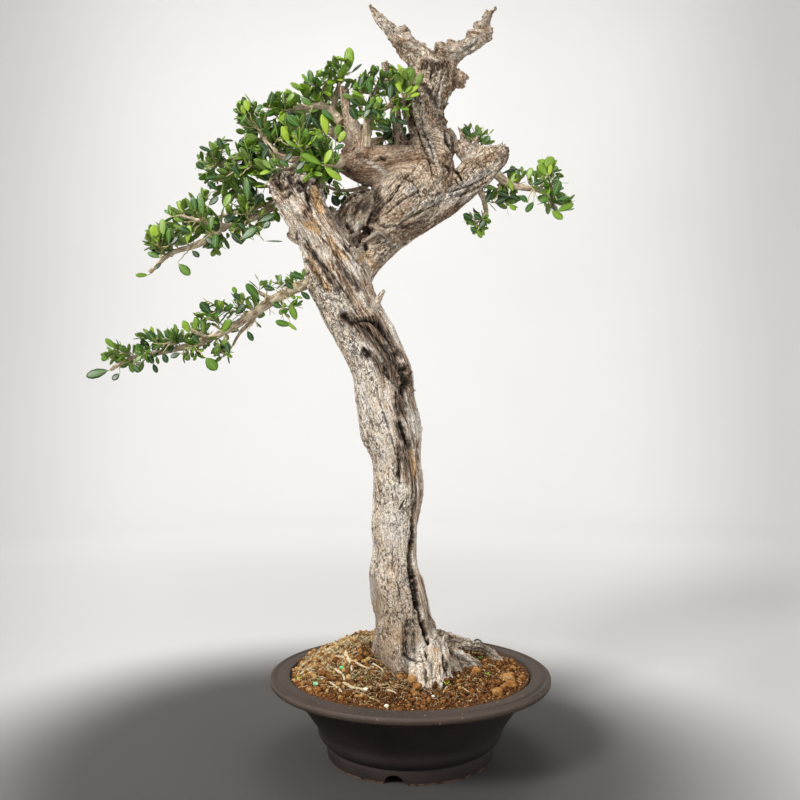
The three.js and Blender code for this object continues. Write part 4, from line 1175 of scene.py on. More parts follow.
wood.paint((1.0 - hair.within(0.34, 0.44)) * 0.65, chart(66, 51, 40))
burnt = wood.ramp(hair, (0.44, 14, 11, 9), (0.525, 66, 50, 39), (0.61, 168, 140, 114))
wood.paint(wood.attribute("umber") * 0.92, burnt)
# Crevices are painted dark brown, as painted shade.
wood.paint(wood.attribute("crevice") * 0.8, wood.blend(broad, chart(40, 30, 23), chart(70, 52, 40)))
# Clefts, cracks and hollows are painted near black, as painted shade in the cuts.
wood.paint(wood.attribute("dark") * 0.95, chart(22, 17, 14))
wood.set("Roughness", 0.8 + 0.2 * pepper)
wood.bump(streak + hair * 0.8 + pepper - 0.9 * torn - 0.8 * blocky, 0.0022, 1.0)
settle(trunk, wood, ["trunk"])

# %% [markdown]
# ## The live branches
# Only a few branches are still alive. Each follows a route, or two or three where it forks, of stations
# like the trunk's limbs: a place and a radius in millimetres. A branch's thin end runs on into the twigs.

# %% Routes of the branches
BRANCHES = {
    "lower_left_branch": [
    [(-108, -7, 509, 6.2), (-132, -12, 497, 5.5), (-153, -16, 484, 5.2), (-179, -20, 465, 4.3),
    (-205, -22, 449, 3.8), (-237, -24, 436, 3.2), (-269, -25, 428, 2.7), (-297, -26, 423, 2.4),
    (-321, -28, 409, 1.6)], [(-161, -18, 479, 3), (-175, -10, 463, 2.2), (-187, -6, 452, 2),
    (-195, -4, 439, 1.5)], [(-151, -16, 486, 3), (-160, -24, 492, 2), (-172, -30, 497, 1.5)],
    [(-217, -23, 443, 3), (-228, -36, 449, 2), (-241, -42, 454, 1.5)]],
    "upper_left_branch": [
    [(-84, 6, 641, 7.5), (-110, 8, 623, 6), (-135, 6, 606, 4.9), (-154, 0, 593, 4.3), (-177, -8, 578, 3.9),
    (-203, -14, 568, 3.5), (-229, -18, 548, 3.1), (-260, -22, 536, 2.7), (-281, -25, 515, 2)],
    [(-126, 8, 612, 4), (-156, 8, 601, 2.8), (-176, 6, 595, 2.5), (-198, 4, 588, 2.1), (-216, 2, 583, 1.7)],
    [(-199, -14, 568, 3.2), (-222, -24, 570, 2.4), (-248, -30, 576, 1.7)]],
    "crown_left_branch": [
    [(-86, 2, 653, 7.5), (-103, 0, 654, 6.7), (-131, -4, 648, 5.6), (-161, -6, 654, 4.4),
    (-189, -4, 648, 3.3), (-215, 0, 641, 2.2)],
    [(-146, -5, 650, 4), (-166, 4, 677, 2.9), (-177, 10, 703, 2)]],
    "crown_front_branch": [
    [(-76, -11, 643, 6.7), (-88, -22, 635, 5.4), (-106, -34, 633, 4.3), (-129, -38, 625, 3.2),
    (-150, -36, 613, 2.1)]],
    "crown_top_branch": [
    [(-77, 5, 692, 5.6), (-86, 6, 702, 4.8), (-100, 8, 712, 4), (-125, 10, 711, 2.9), (-147, 8, 705, 2)],
    [(-88, 6, 704, 4), (-84, 6, 722, 2.9), (-79, 6, 741, 2), (-70, 2, 762, 1.4)]],
    "crown_right_branch": [
    [(-50, -3, 661, 6), (-48, -9, 674, 5), (-46, -12, 690, 4), (-27, -16, 700, 3.1), (-7, -20, 708, 2.2),
    (2, -24, 716, 1.5)], [(-47, -12, 688, 3.2), (-42, -9, 712, 2.2), (-36, -7, 731, 1.6)]],
    "crown_back_branch": [
    [(-54, 25, 670, 7.5), (-67, 38, 682, 6.4), (-90, 56, 701, 5.4), (-117, 68, 713, 3.6)],
    [(-62, 34, 678, 4.6), (-46, 48, 686, 4), (-23, 58, 696, 2.9)], [(-54, 25, 668, 5), (-49, 35, 650, 4),
    (-48, 36, 632, 3.4), (-60, 33, 625, 2.6), (-78, 30, 622, 2), (-100, 30, 628, 1.6)]],
    "right_branch": [
    [(97, 16, 638, 5.5), (108, 20, 630, 4.8), (120, 22, 625, 4.1), (134, 24, 623, 3.7), (150, 26, 621, 3),
    (161, 24, 609, 2.3), (168, 22, 592, 1.6)], [(148, 26, 621, 3), (158, 28, 636, 1.8), (163, 30, 651, 1.4)]],
    "lower_right_twig": [
    [(78, 24, 626, 4), (85, 33, 615, 3.4), (88, 37, 604, 3), (88, 34, 595, 2.5), (78, 30, 585, 1.6)]],
    "arm_twig": [
    [(88, 20, 660, 3.6), (86, 28, 665, 3), (80, 33, 675, 2.3), (75, 35, 684, 1.6)]]}

branch_limbs = {name: [Limb(route, "young", twist=0.01) for route in routes]
                for name, routes in BRANCHES.items()}
print(len(BRANCHES), "branches")

# %% [markdown]
# The young wood is smooth, grey and tan, with a few rings where old shoots have dropped off, and tiny
# pale pores. The branches are made in the same way as the trunk, by fusing tubes and combing them along
# their grain, but with a finer skin and much shallower marks.

# %% Young bark
young = Finish("young_bark", Specular_IOR_Level=0.3)
along = young.attribute("grain", "Vector")
streak = young.noise(young.stretched(along, (1, 1, 0.15)), 700, detail=5)
blotch = young.noise(young.place(), 90, detail=4)
ring = young.noise(young.stretched(along, (0.12, 0.12, 1)), 520, detail=2)
pores = young.cells(young.stretched(along, (1, 1, 0.6)), 900)
young.prime(young.ramp(0.5 * streak + 0.5 * blotch, (0.38, 122, 102, 80), (0.49, 176, 158, 132),
                       (0.6, 214, 200, 174)))
young.paint(ring.within(0.6, 0.72) * 0.45, chart(104, 84, 66))
# The furrows of the young bark are painted darker, as painted shade.
young.paint(young.attribute("crevice") * 0.7, chart(74, 58, 44))
young.paint((1.0 - pores.within(0.08, 0.2)) * 0.5, chart(206, 190, 164))
young.set("Roughness", 0.62 + 0.25 * streak)
young.bump(streak + ring * 0.8, 0.0004, 0.7)


def comb_branch(name, limbs):
    branch = join_tubes(name + "_bark", limbs, 14)
    fuse(branch, 0.8, 3)
    skin = read_points(branch)
    grain = Grain(skin, limbs)
    long_strands = grain.blend(lambda limb, c, *_: strands(c / (3.6, 3.6, 40), 21)) - 0.5
    rings = grain.blend(lambda limb, c, *_: noise(c / (14, 14, 3.2), 23))
    knobs = np.maximum(rough(skin / 9, 2, 22) - 0.25, 0)
    texture = 0.45 * long_strands + 0.22 * rings + 0.18 * noise(skin / 2.2, 24)
    move_points(branch, skin + read_points(branch, "normal") * (texture + 1.8 * knobs)[:, None])
    write_attribute(branch, "grain", grain.blend(lambda limb, c, *_: c * MM, 3), "FLOAT_VECTOR")
    write_attribute(branch, "crevice", eased(-texture, 0.05, 0.5))
    settle(branch, young, [name])


for name, limbs in branch_limbs.items():
    comb_branch(name, limbs)

# %% [markdown]
# ## The foliage
# An olive carries its leaves in opposite pairs, each pair turned a quarter from the last, on thin pale
# shoots that reach for the light. Shoots are grown here in the same order as on the tree. Each spray has
# a space to fill, which is its solid in the packed model. Points are strewn in that space, and the
# nearest wood sends a bent shoot to each of them, so later shoots start from earlier ones.

# %% The space of a spray
UP = np.array([0.0, 0.0, 1.0])


def unit(vector):
    return vector / max(np.linalg.norm(vector), 1e-9)


def solid_of(node):
    """A packed solid's points, and a tree of its faces that tells what lies inside it."""
    mesh = frame["nodes"][node].data
    points = (np.array([v.co for v in mesh.vertices]) - POT_AXIS) / MM
    return points, BVHTree.FromPolygons(points.tolist(), [tuple(face.vertices) for face in mesh.polygons])


TRIES = 40


class Space:
    """The room that a spray may fill."""
    def __init__(self, node):
        points, self.tree = solid_of(node)
        self.low, self.high, self.middle = points.min(axis=0), points.max(axis=0), points.mean(axis=0)

    def outside(self, point):
        """Millimetres outside the space; negative inside it."""
        place, normal, _, distance = self.tree.find_nearest(Vector(point))
        return distance if (Vector(point) - place).dot(normal) > 0 else -distance

    def strew(self, rng, gap, most):
        """At most that many random points in the space, no two nearer than the gap."""
        points = []
        for _ in range(most * TRIES):
            point = rng.uniform(self.low, self.high)
            if self.outside(point) < -1.0 and all(np.linalg.norm(point - other) > gap for other in points):
                points.append(point)
                if len(points) == most:
                    break
        return points


crown_size = Space("foliage_crown_middle")
print("the middle spray of the crown fills", (crown_size.high - crown_size.low).round(), "mm")

# %% [markdown]
# A shoot leaves the wood roughly in the direction in which the wood grows, bends towards its own point,
# and turns up at the end. It starts where the wood is near and already grows towards that point. It is a
# five-sided tube that thins to half a millimetre, because hundreds of them are needed.

# %% Grow shoots
SHOOT_STEP = 3.2


class Wood:
    """Every place that a shoot may start from, and the direction of growth there."""
    def __init__(self, limbs):
        self.places = [p for limb in limbs for p in limb.line[2:]]
        self.headings = [t for limb in limbs for t in limb.tangent[2:]]

    def start_for(self, point):
        """The place and heading on the wood from which a shoot to the point would grow."""
        gaps = point - np.array(self.places)
        distance = np.linalg.norm(gaps, axis=1)
        forward = (gaps * np.array(self.headings)).sum(axis=1) / np.maximum(distance, 1e-6)
        best = int((distance * (1.35 - 0.55 * forward)).argmin())
        return self.places[best], self.headings[best]

    def grow(self, line):
        """Adds a new shoot, without its ends, to the wood."""
        self.places += list(line[2:-2])
        self.headings += [unit(t) for t in np.gradient(line, axis=0)[2:-2]]


def bend_shoot(rng, start, heading, end, lift):
    """A bent line between two places that leaves along the heading and turns up by the lift."""
    gap = end - start
    length = np.linalg.norm(gap)
    leave = unit(0.55 * heading + unit(gap)) * length
    arrive = unit(unit(gap) + lift * UP + rng.normal(0, 0.2, 3)) * length
    t = np.linspace(0, 1, max(4, int(length / SHOOT_STEP) + 1))[:, None]
    line = ((2 * t ** 3 - 3 * t ** 2 + 1) * start + (t ** 3 - 2 * t ** 2 + t) * leave * 0.8
            + (3 * t ** 2 - 2 * t ** 3) * end + (t ** 3 - t ** 2) * arrive * 0.8)
    kinks = rng.normal(0, 0.5, line.shape)
    kinks[0] = kinks[-1] = 0
    return line + kinks


def shoot_tube(line, thick, thin, sides=5):
    tangent = unit_rows(np.gradient(line, axis=0))
    side = unit_rows(np.cross(tangent, (0.3, 1.0, 0.2)))
    return skin_tube(line, np.linspace(thick, thin, len(line)), side, np.cross(tangent, side), sides)


growth = Wood([limb for limbs in branch_limbs.values() for limb in limbs])
print("shoots may start from", len(growth.places), "places on the branches")

# %% [markdown]
# One leaf is modelled as a thin closed shell one unit long: a narrow stalk, the widest place
# past the middle, and a blunt tip with a small point. It folds a little along its midrib, its edges roll
# under and the blade arches. Every leaf on the tree is this one, stretched, bent and turned, and each is
# its own closed shell, with a few dozen faces.

# %% One leaf
LEAF_ROWS = [(0.09, 0.10), (0.25, 0.60), (0.50, 0.98), (0.75, 0.90), (0.92, 0.52)]
TOP_COLUMNS, UNDER_COLUMNS = (-1.0, -0.55, 0.0, 0.55, 1.0), (0.55, 0.0, -0.55)
THICKNESS = 0.045
leaf_shape, leaf_blade = [(0.0, 0.0, 0.0)], [(0.0, 0.0, 0.5)]
for along_leaf, half_width in LEAF_ROWS:
    for number, column in enumerate(TOP_COLUMNS + UNDER_COLUMNS):
        edge, on_top = abs(column), number < len(TOP_COLUMNS)
        fold = 0.10 * half_width * (edge * 1.2 - 1.3 * edge ** 2.5)
        leaf_shape.append((along_leaf, column * half_width, fold if on_top else fold - THICKNESS))
        leaf_blade.append((column, along_leaf, 0.0 if not on_top else 0.5 if edge == 1 else 1.0))
leaf_shape.append((1.0, 0.0, -0.03))
leaf_blade.append((0.0, 1.0, 0.5))
leaf_shape, leaf_blade = np.array(leaf_shape), np.array(leaf_blade)
RING = len(TOP_COLUMNS) + len(UNDER_COLUMNS)
leaf_faces = [(0, 1 + (i + 1) % RING, 1 + i) for i in range(RING)]
leaf_faces += ring_faces(1, len(LEAF_ROWS), RING)
last_ring = 1 + (len(LEAF_ROWS) - 1) * RING
leaf_faces += [(last_ring + i, last_ring + (i + 1) % RING, last_ring + RING) for i in range(RING)]
print("one leaf:", len(leaf_shape), "points", len(leaf_faces), "faces")


def place_leaf(base, heading, face_up, length, width, arch):
    """The leaf's points, from its base along its heading, with its upper side turned to face_up."""
    side = unit(np.cross(face_up, heading))
    up = np.cross(heading, side)
    x = leaf_shape[:, :1]
    lift = leaf_shape[:, 2:] * width - arch * length * x ** 2
    flat = base + heading * x * length * (1 - 0.3 * arch * x) + side * leaf_shape[:, 1:2] * width / 2
    return flat + up * lift


# %% [markdown]
# The lowest branch is seen from end to end, and its long, thin line is what the eye follows. So no leaf
# that grows on a shoot may hang in front of its thick part: this is asked for each before it is hung.

# %% A branch that stays in sight
BARE_MARGIN = 6.0
bare_stretch = branch_limbs["lower_left_branch"][0].line[:38]


def hides_branch(base, heading, length):
    """Whether a leaf would hang in front of the bare part of the lowest branch."""
    for share in (0.1, 0.5, 0.9):
        gaps = bare_stretch - (base + share * length * heading)
        apart = np.hypot(gaps[:, 0], gaps[:, 2])
        if apart.min() < BARE_MARGIN and gaps[apart.argmin(), 1] > 0:
            return True
    return False


print("the lowest branch stays bare for", round(bare_stretch[0, 0] - bare_stretch[-1, 0]), "mm across")

# %% [markdown]
# Along the last few centimetres of a shoot a pair of leaves opens every few millimetres, wider near the
# wood and closing to a bud at the tip. Young leaves at the tip are smaller and a bright yellow green. A
# leaf that would stick out of its spray's space is drawn in or left off. The lengths below are in
# millimetres and the openings in degrees; widths and arches are shares of a leaf's length.

# %% Clothe the shoots
LEAF_SIZES, LEAF_WIDTHS, LEAF_ARCHES = (0.78, 1.15), (0.38, 0.5), (-0.02, 0.16)
LEAF_OVERHANG, DRAW_IN_TRIES, DRAW_IN = 5.0, 4, 0.92
SIDE_STEP, GROWN_UP, OPENING_AT_TIP, OPENS_FURTHER = 2.0, 22, 30, 34
MISSING_LEAVES, MISSING_NEAR_WOOD = 0.12, 0.2


class Spray:
    def __init__(self, node, leaf_length, brightest, seed):
        self.node, self.space, self.leaf_length, self.brightest = node, Space(node), leaf_length, brightest
        self.rng = np.random.default_rng(seed)
        self.leaves, self.twigs = Heap(node + "_leaves"), Heap(node + "_twigs")
        self.tones, self.ages = [], []

    def hang(self, base, heading, face_up, length, width, arch, tone, age):
        self.leaves.add(place_leaf(base, heading, face_up, length, width, arch), leaf_faces)
        self.tones.append(tone)
        self.ages.append(age)

    def add_leaf(self, base, heading, face_up, size, age):
        """Hangs a leaf of random size, if it finds room."""
        rng, length = self.rng, self.leaf_length * size * self.rng.uniform(*LEAF_SIZES)
        for _ in range(DRAW_IN_TRIES):
            if self.space.outside(base + heading * length) < LEAF_OVERHANG:
                break
            length *= DRAW_IN
            heading = unit(heading + 0.3 * unit(self.space.middle - base))
        else:
            return
        if not hides_branch(base, heading, length):
            self.hang(base, heading, face_up, length, length * rng.uniform(*LEAF_WIDTHS),
                      rng.uniform(*LEAF_ARCHES), rng.uniform(0, self.brightest), age)

    def clothe(self, line, leafy_length, spacing):
        """Opens pairs of leaves along a shoot, from its tip inwards."""
        rng = self.rng
        gaps = np.linalg.norm(np.diff(line, axis=0), axis=1)
        length, reach = gaps.sum(), np.concatenate([[0], np.cumsum(gaps)])
        turn, from_tip = rng.uniform(0, math.pi), rng.uniform(0.3, 1.2)

        def at(distance):
            return np.array([np.interp(distance, reach, line[:, axis]) for axis in range(3)])

        while from_tip < min(leafy_length, length - SIDE_STEP):
            here = length - from_tip
            stem = unit(at(min(here + SIDE_STEP, length)) - at(max(here - SIDE_STEP, 0)))
            side = unit(np.cross(stem, (0.37, 0.82, 0.44)))
            other = np.cross(stem, side)
            age = min(1.0, from_tip / GROWN_UP)
            opening = math.radians(OPENING_AT_TIP + OPENS_FURTHER * age + rng.normal(0, 8))
            for half in (0, math.pi):
                near_wood = from_tip > 0.7 * leafy_length
                if rng.uniform() < MISSING_LEAVES + MISSING_NEAR_WOOD * near_wood:
                    continue
                around = turn + half + rng.normal(0, 0.25)
                out = math.cos(around) * side + math.sin(around) * other
                heading = unit(math.cos(opening) * stem + math.sin(opening) * out + 0.22 * UP)
                light = stem + 0.7 * UP
                face_up = unit(light - light.dot(heading) * heading + rng.normal(0, 0.22, 3))
                self.add_leaf(at(here), heading, face_up, 0.72 + 0.36 * min(1, age * 1.6), age)
            turn += math.pi / 2
            from_tip += spacing * rng.uniform(0.8, 1.25)

    def build(self):
        count = len(self.tones)
        piece = self.leaves.mesh()
        write_attribute(piece, "blade", np.tile(leaf_blade, (count, 1)), "FLOAT_VECTOR")
        write_attribute(piece, "tone", np.repeat(self.tones, len(leaf_shape)))
        write_attribute(piece, "age", np.repeat(self.ages, len(leaf_shape)))
        settle(piece, leaf, [self.node])
        settle(self.twigs.mesh(), shoot_finish)
        return count


# %% [markdown]
# Olive leaves are leathery: dark and waxy above, dull and pale below, with a light midrib. Age makes them
# darker. The gloss is a thin clear coat, and a soft bump keeps its highlights from looking like plastic.

# %% Leaf and shoot finishes
leaf = Finish("olive_leaf", Specular_IOR_Level=0.4, Coat_Weight=0.1, Coat_Roughness=0.3)
blade = leaf.attribute("blade", "Vector")
across_blade, along_blade, upper = [leaf.node("SeparateXYZ", {}, {0: blade}, output=i)
                                    for i in range(3)]
tone, age = leaf.attribute("tone"), leaf.attribute("age")
mottle = leaf.noise(leaf.place(), 420, detail=3)
midrib = 1.0 - (across_blade * across_blade).within(0.002, 0.03)
under_green = leaf.blend(midrib * 0.4, chart(96, 124, 52), chart(152, 168, 92))
under_green = leaf.blend(tone * 0.5, under_green, chart(136, 162, 68))
young_green = leaf.ramp(tone, (0.0, 62, 112, 14), (0.5, 106, 145, 20), (1.0, 152, 177, 42))
old_green = leaf.ramp(tone, (0.0, 12, 32, 16), (0.3, 22, 56, 16), (0.6, 57, 98, 15),
                             (0.85, 97, 131, 18), (1.0, 136, 159, 28))
leaf.prime(leaf.blend(age.within(0.1, 0.6), young_green, old_green))
leaf.paint(mottle.within(0.4, 0.7) * 0.25, chart(18, 48, 20))
leaf.paint(midrib * 0.25, chart(142, 172, 78))
leaf.prime(leaf.blend(upper.within(0.3, 0.55), under_green, leaf.colour))
leaf.paint((1.0 - along_blade.within(0.0, 0.16)) * 0.6, chart(170, 184, 104))
leaf.set("Roughness", 0.58 - 0.22 * upper + 0.12 * mottle)
leaf.bump(mottle * 0.6 - midrib, 0.0003, 0.6)


def speckled(name, scale, bump, *stops, shade=0.0, detail=4.0, grain=0.55, **constants):
    """A plain finish: fine noise, and each small shape's own shade, run a ramp and raise the skin."""
    finish = Finish(name, **constants)
    speck = finish.noise(finish.place(), scale, detail, grain)
    place_on_ramp = speck + shade * finish.attribute("shade") - shade / 2 if shade else speck
    finish.set("Base Color", finish.ramp(place_on_ramp, *stops))
    finish.bump(speck, *bump)
    return finish, speck


shoot_finish, _ = speckled("green_shoot", 350, (0.0003, 0.6), (0.35, 140, 128, 92),
                           (0.55, 184, 172, 128), (0.7, 196, 176, 120), Roughness=0.6)
print("leaf finish:", len(leaf.tree.nodes), "nodes")

# %% [markdown]
# Some leaves show so well at the edge of the crown that they give it its character. These are laid one
# by one: where the leaf's base is on the front view, the steps across and down to its tip, its width in
# millimetres and its tone, from 0 for the darkest to 1 for the brightest. A tone is partly the leaf's
# own green and partly painted shade, low for leaves that lie in shadow.

# %% The leaves that show best
#   spray: how far it lies behind the pot's axis, and its leaves
PICKED_LEAVES = {
    "crown_top": (-4, [
    (349, 72, 0, -26, 11, 0.8), (347, 73, 2, -16, 9, 0.6), (347, 73, -11, -11, 5, 0.2),
    (350, 74, 12, -11, 4, 0.1), (308, 93, -18, -11, 7, 0.75), (328, 95, 2, -18, 9, 0.7),
    (322, 97, -7, -13, 6, 0.4), (338, 84, 3, -11, 6, 0.3)]),
    "crown_top_right": (-30, [
    (400, 87, 2, -21, 10, 0.85), (411, 82, 0, -14, 9, 0.7), (390, 101, 1, -18, 8, 0.25),
    (379, 109, -2, -13, 7, 0.9), (371, 94, -3, -16, 8, 0.5), (366, 98, -15, -8, 6, 0.75),
    (359, 90, 4, -15, 6, 0.35), (409, 97, 11, -4, 5, 0.95), (404, 96, 15, -11, 6, 0.9),
    (402, 95, -5, -13, 5, 0.95), (404, 94, 8, -9, 5, 0.8), (360, 106, -10, -8, 7, 0.3),
    (364, 112, 8, -12, 8, 0.45), (385, 90, -9, -6, 6, 0.3)]),
    "crown_right": (-32, [
    (382, 117, -10, -9, 6, 0.3), (392, 112, 4, 12, 6, 0.2), (357, 121, -6, -14, 9, 0.25),
    (363, 119, 7, -11, 7, 0.35), (376, 124, 14, 4, 7, 0.15), (396, 119, 12, 5, 6, 0.1)]),
    "crown_middle": (-30, [
    (300, 127, -13, -12, 10, 0.55), (327, 137, -4, -25, 9, 0.95), (290, 146, -8, -21, 8, 0.95),
    (338, 143, 7, -12, 8, 0.9), (335, 137, 5, -13, 7, 0.7), (306, 128, 5, -15, 7, 0.3),
    (322, 131, -10, -14, 7, 0.3), (334, 121, -12, -12, 8, 0.5), (313, 106, -12, -8, 7, 0.6)]),
    "crown_front": (-58, [
    (324, 167, 18, 13, 9, 0.85), (322, 165, -20, -12, 9, 0.7), (324, 165, 7, -16, 9, 0.9),
    (318, 149, -6, -13, 7, 0.5), (333, 150, 11, -6, 6, 0.4), (306, 160, -10, 10, 7, 0.3)]),
    "crown_left_top": (-20, [
    (248, 112, -2, -13, 8, 0.9), (245, 115, -3, -10, 6, 0.8), (254, 113, 8, -9, 6, 0.5),
    (262, 130, -5, -13, 7, 0.4), (240, 125, 6, -12, 6, 0.6), (270, 105, 3, -13, 7, 0.4),
    (287, 102, 7, -9, 7, 0.75)]),
    "crown_far_left": (-22, [
    (222, 150, -4, -13, 6, 0.3), (212, 152, -13, -6, 5, 0.3), (205, 170, -9, -8, 7, 0.35),
    (218, 176, -12, 2, 6, 0.4), (216, 190, -8, -9, 7, 0.3), (230, 158, -4, -13, 6, 0.6),
    (241, 168, 9, -10, 8, 0.3), (238, 150, 4, -12, 6, 0.2)]),
    "crown_left_front": (-48, [
    (248, 202, -3, -25, 9, 0.5), (270, 152, -11, -9, 7, 0.3), (262, 160, 6, -12, 7, 0.2),
    (278, 172, -13, -9, 8, 0.45), (240, 176, -7, -11, 7, 0.25), (284, 162, 8, -10, 7, 0.3),
    (278, 160, 11, 6, 7, 0.5)]),
    "upper_left_tip": (-46, [
    (158, 243, -6, -18, 10, 0.9), (163, 238, -1, -20, 8, 0.75), (169, 244, -1, -15, 6, 0.6),
    (178, 263, 12, 12, 9, 0.65), (149, 275, -14, 0, 5, 0.7), (161, 258, -14, -6, 6, 0.6),
    (168, 246, 10, -10, 7, 0.1), (162, 262, -8, 7, 5, 0.2), (192, 250, 7, 7, 6, 0.1)]),
    "upper_left_middle": (-50, [
    (187, 244, 2, -20, 8, 0.8), (203, 218, -4, -26, 9, 0.6), (196, 212, -4, -16, 7, 0.5),
    (211, 231, 1, -16, 6, 0.6), (216, 232, -1, 16, 8, 0.5), (204, 236, 10, 9, 6, 0.2),
    (208, 206, 10, -10, 8, 0.2), (184, 222, -11, -4, 5, 0.7), (192, 233, -12, -5, 7, 0.3)]),
    "upper_left_inner": (-34, [
    (223, 209, 7, -16, 10, 0.75), (231, 232, 12, 11, 9, 0.15), (241, 240, 16, -14, 11, 0.45),
    (236, 213, -12, 9, 9, 0.2), (258, 222, 17, -8, 9, 0.35), (254, 206, 8, -13, 9, 0.2),
    (264, 241, 19, 0, 2, 0.4), (246, 230, -8, -7, 6, 0.3), (262, 229, 8, -8, 8, 0.3)]),
    "lower_left_tip": (-36, [
    (110, 370, -25, 6, 10, 0.45), (120, 373, -8, 7, 7, 0.15), (116, 349, -11, -11, 6, 0.7),
    (108, 360, -7, -3, 6, 0.65), (137, 355, 8, -9, 7, 0.5), (133, 364, 7, 8, 5, 0.4),
    (128, 352, -9, -6, 7, 0.6), (152, 352, 6, -13, 6, 0.3), (153, 363, 4, 10, 5, 0.3)]),
    "lower_left_middle": (-48, [
    (156, 343, -9, -12, 8, 0.4), (190, 334, -7, -14, 7, 0.8), (194, 331, 2, -13, 6, 0.75),
    (205, 357, 12, 13, 11, 0.65), (172, 341, -7, -11, 6, 0.4), (181, 353, -11, 4, 6, 0.25),
    (200, 344, -8, -8, 6, 0.35), (163, 352, 4, 11, 6, 0.3)]),
    "lower_left_inner": (-44, [
    (211, 314, -11, -12, 9, 0.35), (222, 333, 8, -14, 9, 0.7), (235, 315, 10, -11, 8, 0.3),
    (216, 318, 4, -13, 6, 0.2), (247, 330, 6, 11, 6, 0.3), (226, 341, 3, 12, 5, 0.3),
    (241, 300, -7, -7, 5, 0.3)]),
    "lower_left_base": (-34, [
    (260, 300, -14, -17, 9, 0.55), (306, 279, -16, -6, 7, 0.4), (290, 302, 6, 18, 7, 0.7),
    (291, 326, -16, -5, 7, 0.6), (276, 290, -12, -3, 6, 0.3), (294, 290, -8, -8, 6, 0.35),
    (283, 308, -11, -5, 6, 0.4), (284, 320, 13, 10, 4, 0.8), (300, 291, 10, 8, 6, 0.3)]),
    "behind_stub": (20, [
    (330, 195, -11, -8, 9, 0.2), (332, 194, 6, 12, 9, 0.15), (341, 206, 5, -10, 6, 0.2),
    (357, 181, 14, 4, 7, 0.15), (346, 190, 6, 12, 5, 0.5)]),
    "crown_back_right": (46, [
    (393, 148, 6, -16, 9, 0.2), (400, 146, 13, -13, 10, 0.15), (393, 130, -10, 9, 9, 0.15),
    (406, 148, 10, -6, 7, 0.2)]),
    "right_tip": (6, [
    (545, 169, 8, -13, 11, 0.75), (528, 180, 3, -13, 8, 0.8), (547, 176, -8, -13, 9, 0.75),
    (553, 198, 7, -18, 9, 0.5), (549, 176, 2, -12, 5, 1.0), (538, 201, 11, -3, 9, 0.6),
    (534, 201, -8, 11, 7, 0.5), (557, 200, 14, -3, 6, 0.5), (556, 212, 18, -9, 8, 0.7),
    (551, 210, 12, 9, 9, 0.75), (528, 203, -7, -8, 8, 0.5), (545, 180, -12, 4, 7, 0.3)]),
    "right_inner": (18, [
    (510, 183, 8, -10, 10, 0.85), (508, 178, 5, 13, 5, 0.8), (486, 204, 5, -13, 7, 0.1),
    (494, 203, 12, -5, 8, 0.1), (508, 203, 8, 7, 6, 0.8), (509, 194, 11, 6, 7, 0.15),
    (502, 173, 16, -5, 4, 0.15), (497, 191, 12, 5, 8, 0.1)]),
    "lower_right": (14, [
    (474, 219, -11, -5, 8, 0.25), (470, 227, 7, 4, 8, 0.4), (477, 230, 5, 8, 5, 0.7),
    (479, 229, 6, -9, 8, 0.3), (473, 214, 8, 5, 7, 0.3)]),
    "arm_top": (26, [
    (471, 138, -7, -12, 8, 0.35), (474, 139, 7, -10, 8, 0.5), (484, 144, 6, -8, 7, 0.45),
    (484, 148, 7, 3, 6, 0.15)])}
print(sum(len(leaves) for _, leaves in PICKED_LEAVES.values()), "leaves laid by hand")

# %% [markdown]
# Each leaf that was laid one by one hangs on a thin twig from the nearest wood, a few millimetres before
# or behind its neighbours. Its upper side is turned to the front and a little up, where the light comes
# from. Its age follows its tone, which holds painted shade as well: a brighter leaf gets a younger
# green.

# %% Hang the picked leaves
PICKED_TWIG, PICKED_LIFT, PICKED_ARCH, FULLER = (0.8, 0.45), 0.1, 0.05, 1.1


def pick(spray, depth, leaves):
    """Hangs the hand-laid leaves of a spray."""
    rng = spray.rng
    for u, v, across, down, width, tone in leaves:
        base = seen_at(u, v, depth + rng.uniform(-2, 2))
        heading = seen_at(u + across, v + down, depth - rng.uniform(1, 4)) - base
        length = np.linalg.norm(heading)
        line = bend_shoot(rng, *growth.start_for(base), base, PICKED_LIFT)
        spray.twigs.add(*shoot_tube(line, *PICKED_TWIG))
        face_up = unit(np.array([rng.normal(0, 0.25), -1.0, 0.35]))
        face_up = unit(face_up - face_up.dot(heading / length) * heading / length)
        age = 1.0 - 0.8 * tone
        spray.hang(base, heading / length, face_up, length, width * FULLER, PICKED_ARCH, tone, age)


print("the brightest leaf laid by hand has the tone",
      max(leaf_row[-1] for _, leaves in PICKED_LEAVES.values() for leaf_row in leaves))

# %% [markdown]
# Now the sprays are grown, from the base of each branch outwards. The leaves are longest in the crown,
# shorter on the side branches, and each spray has its own seed, so one can be changed without the rest.
# The nearest goals are reached first, and what has grown is wood to grow from.

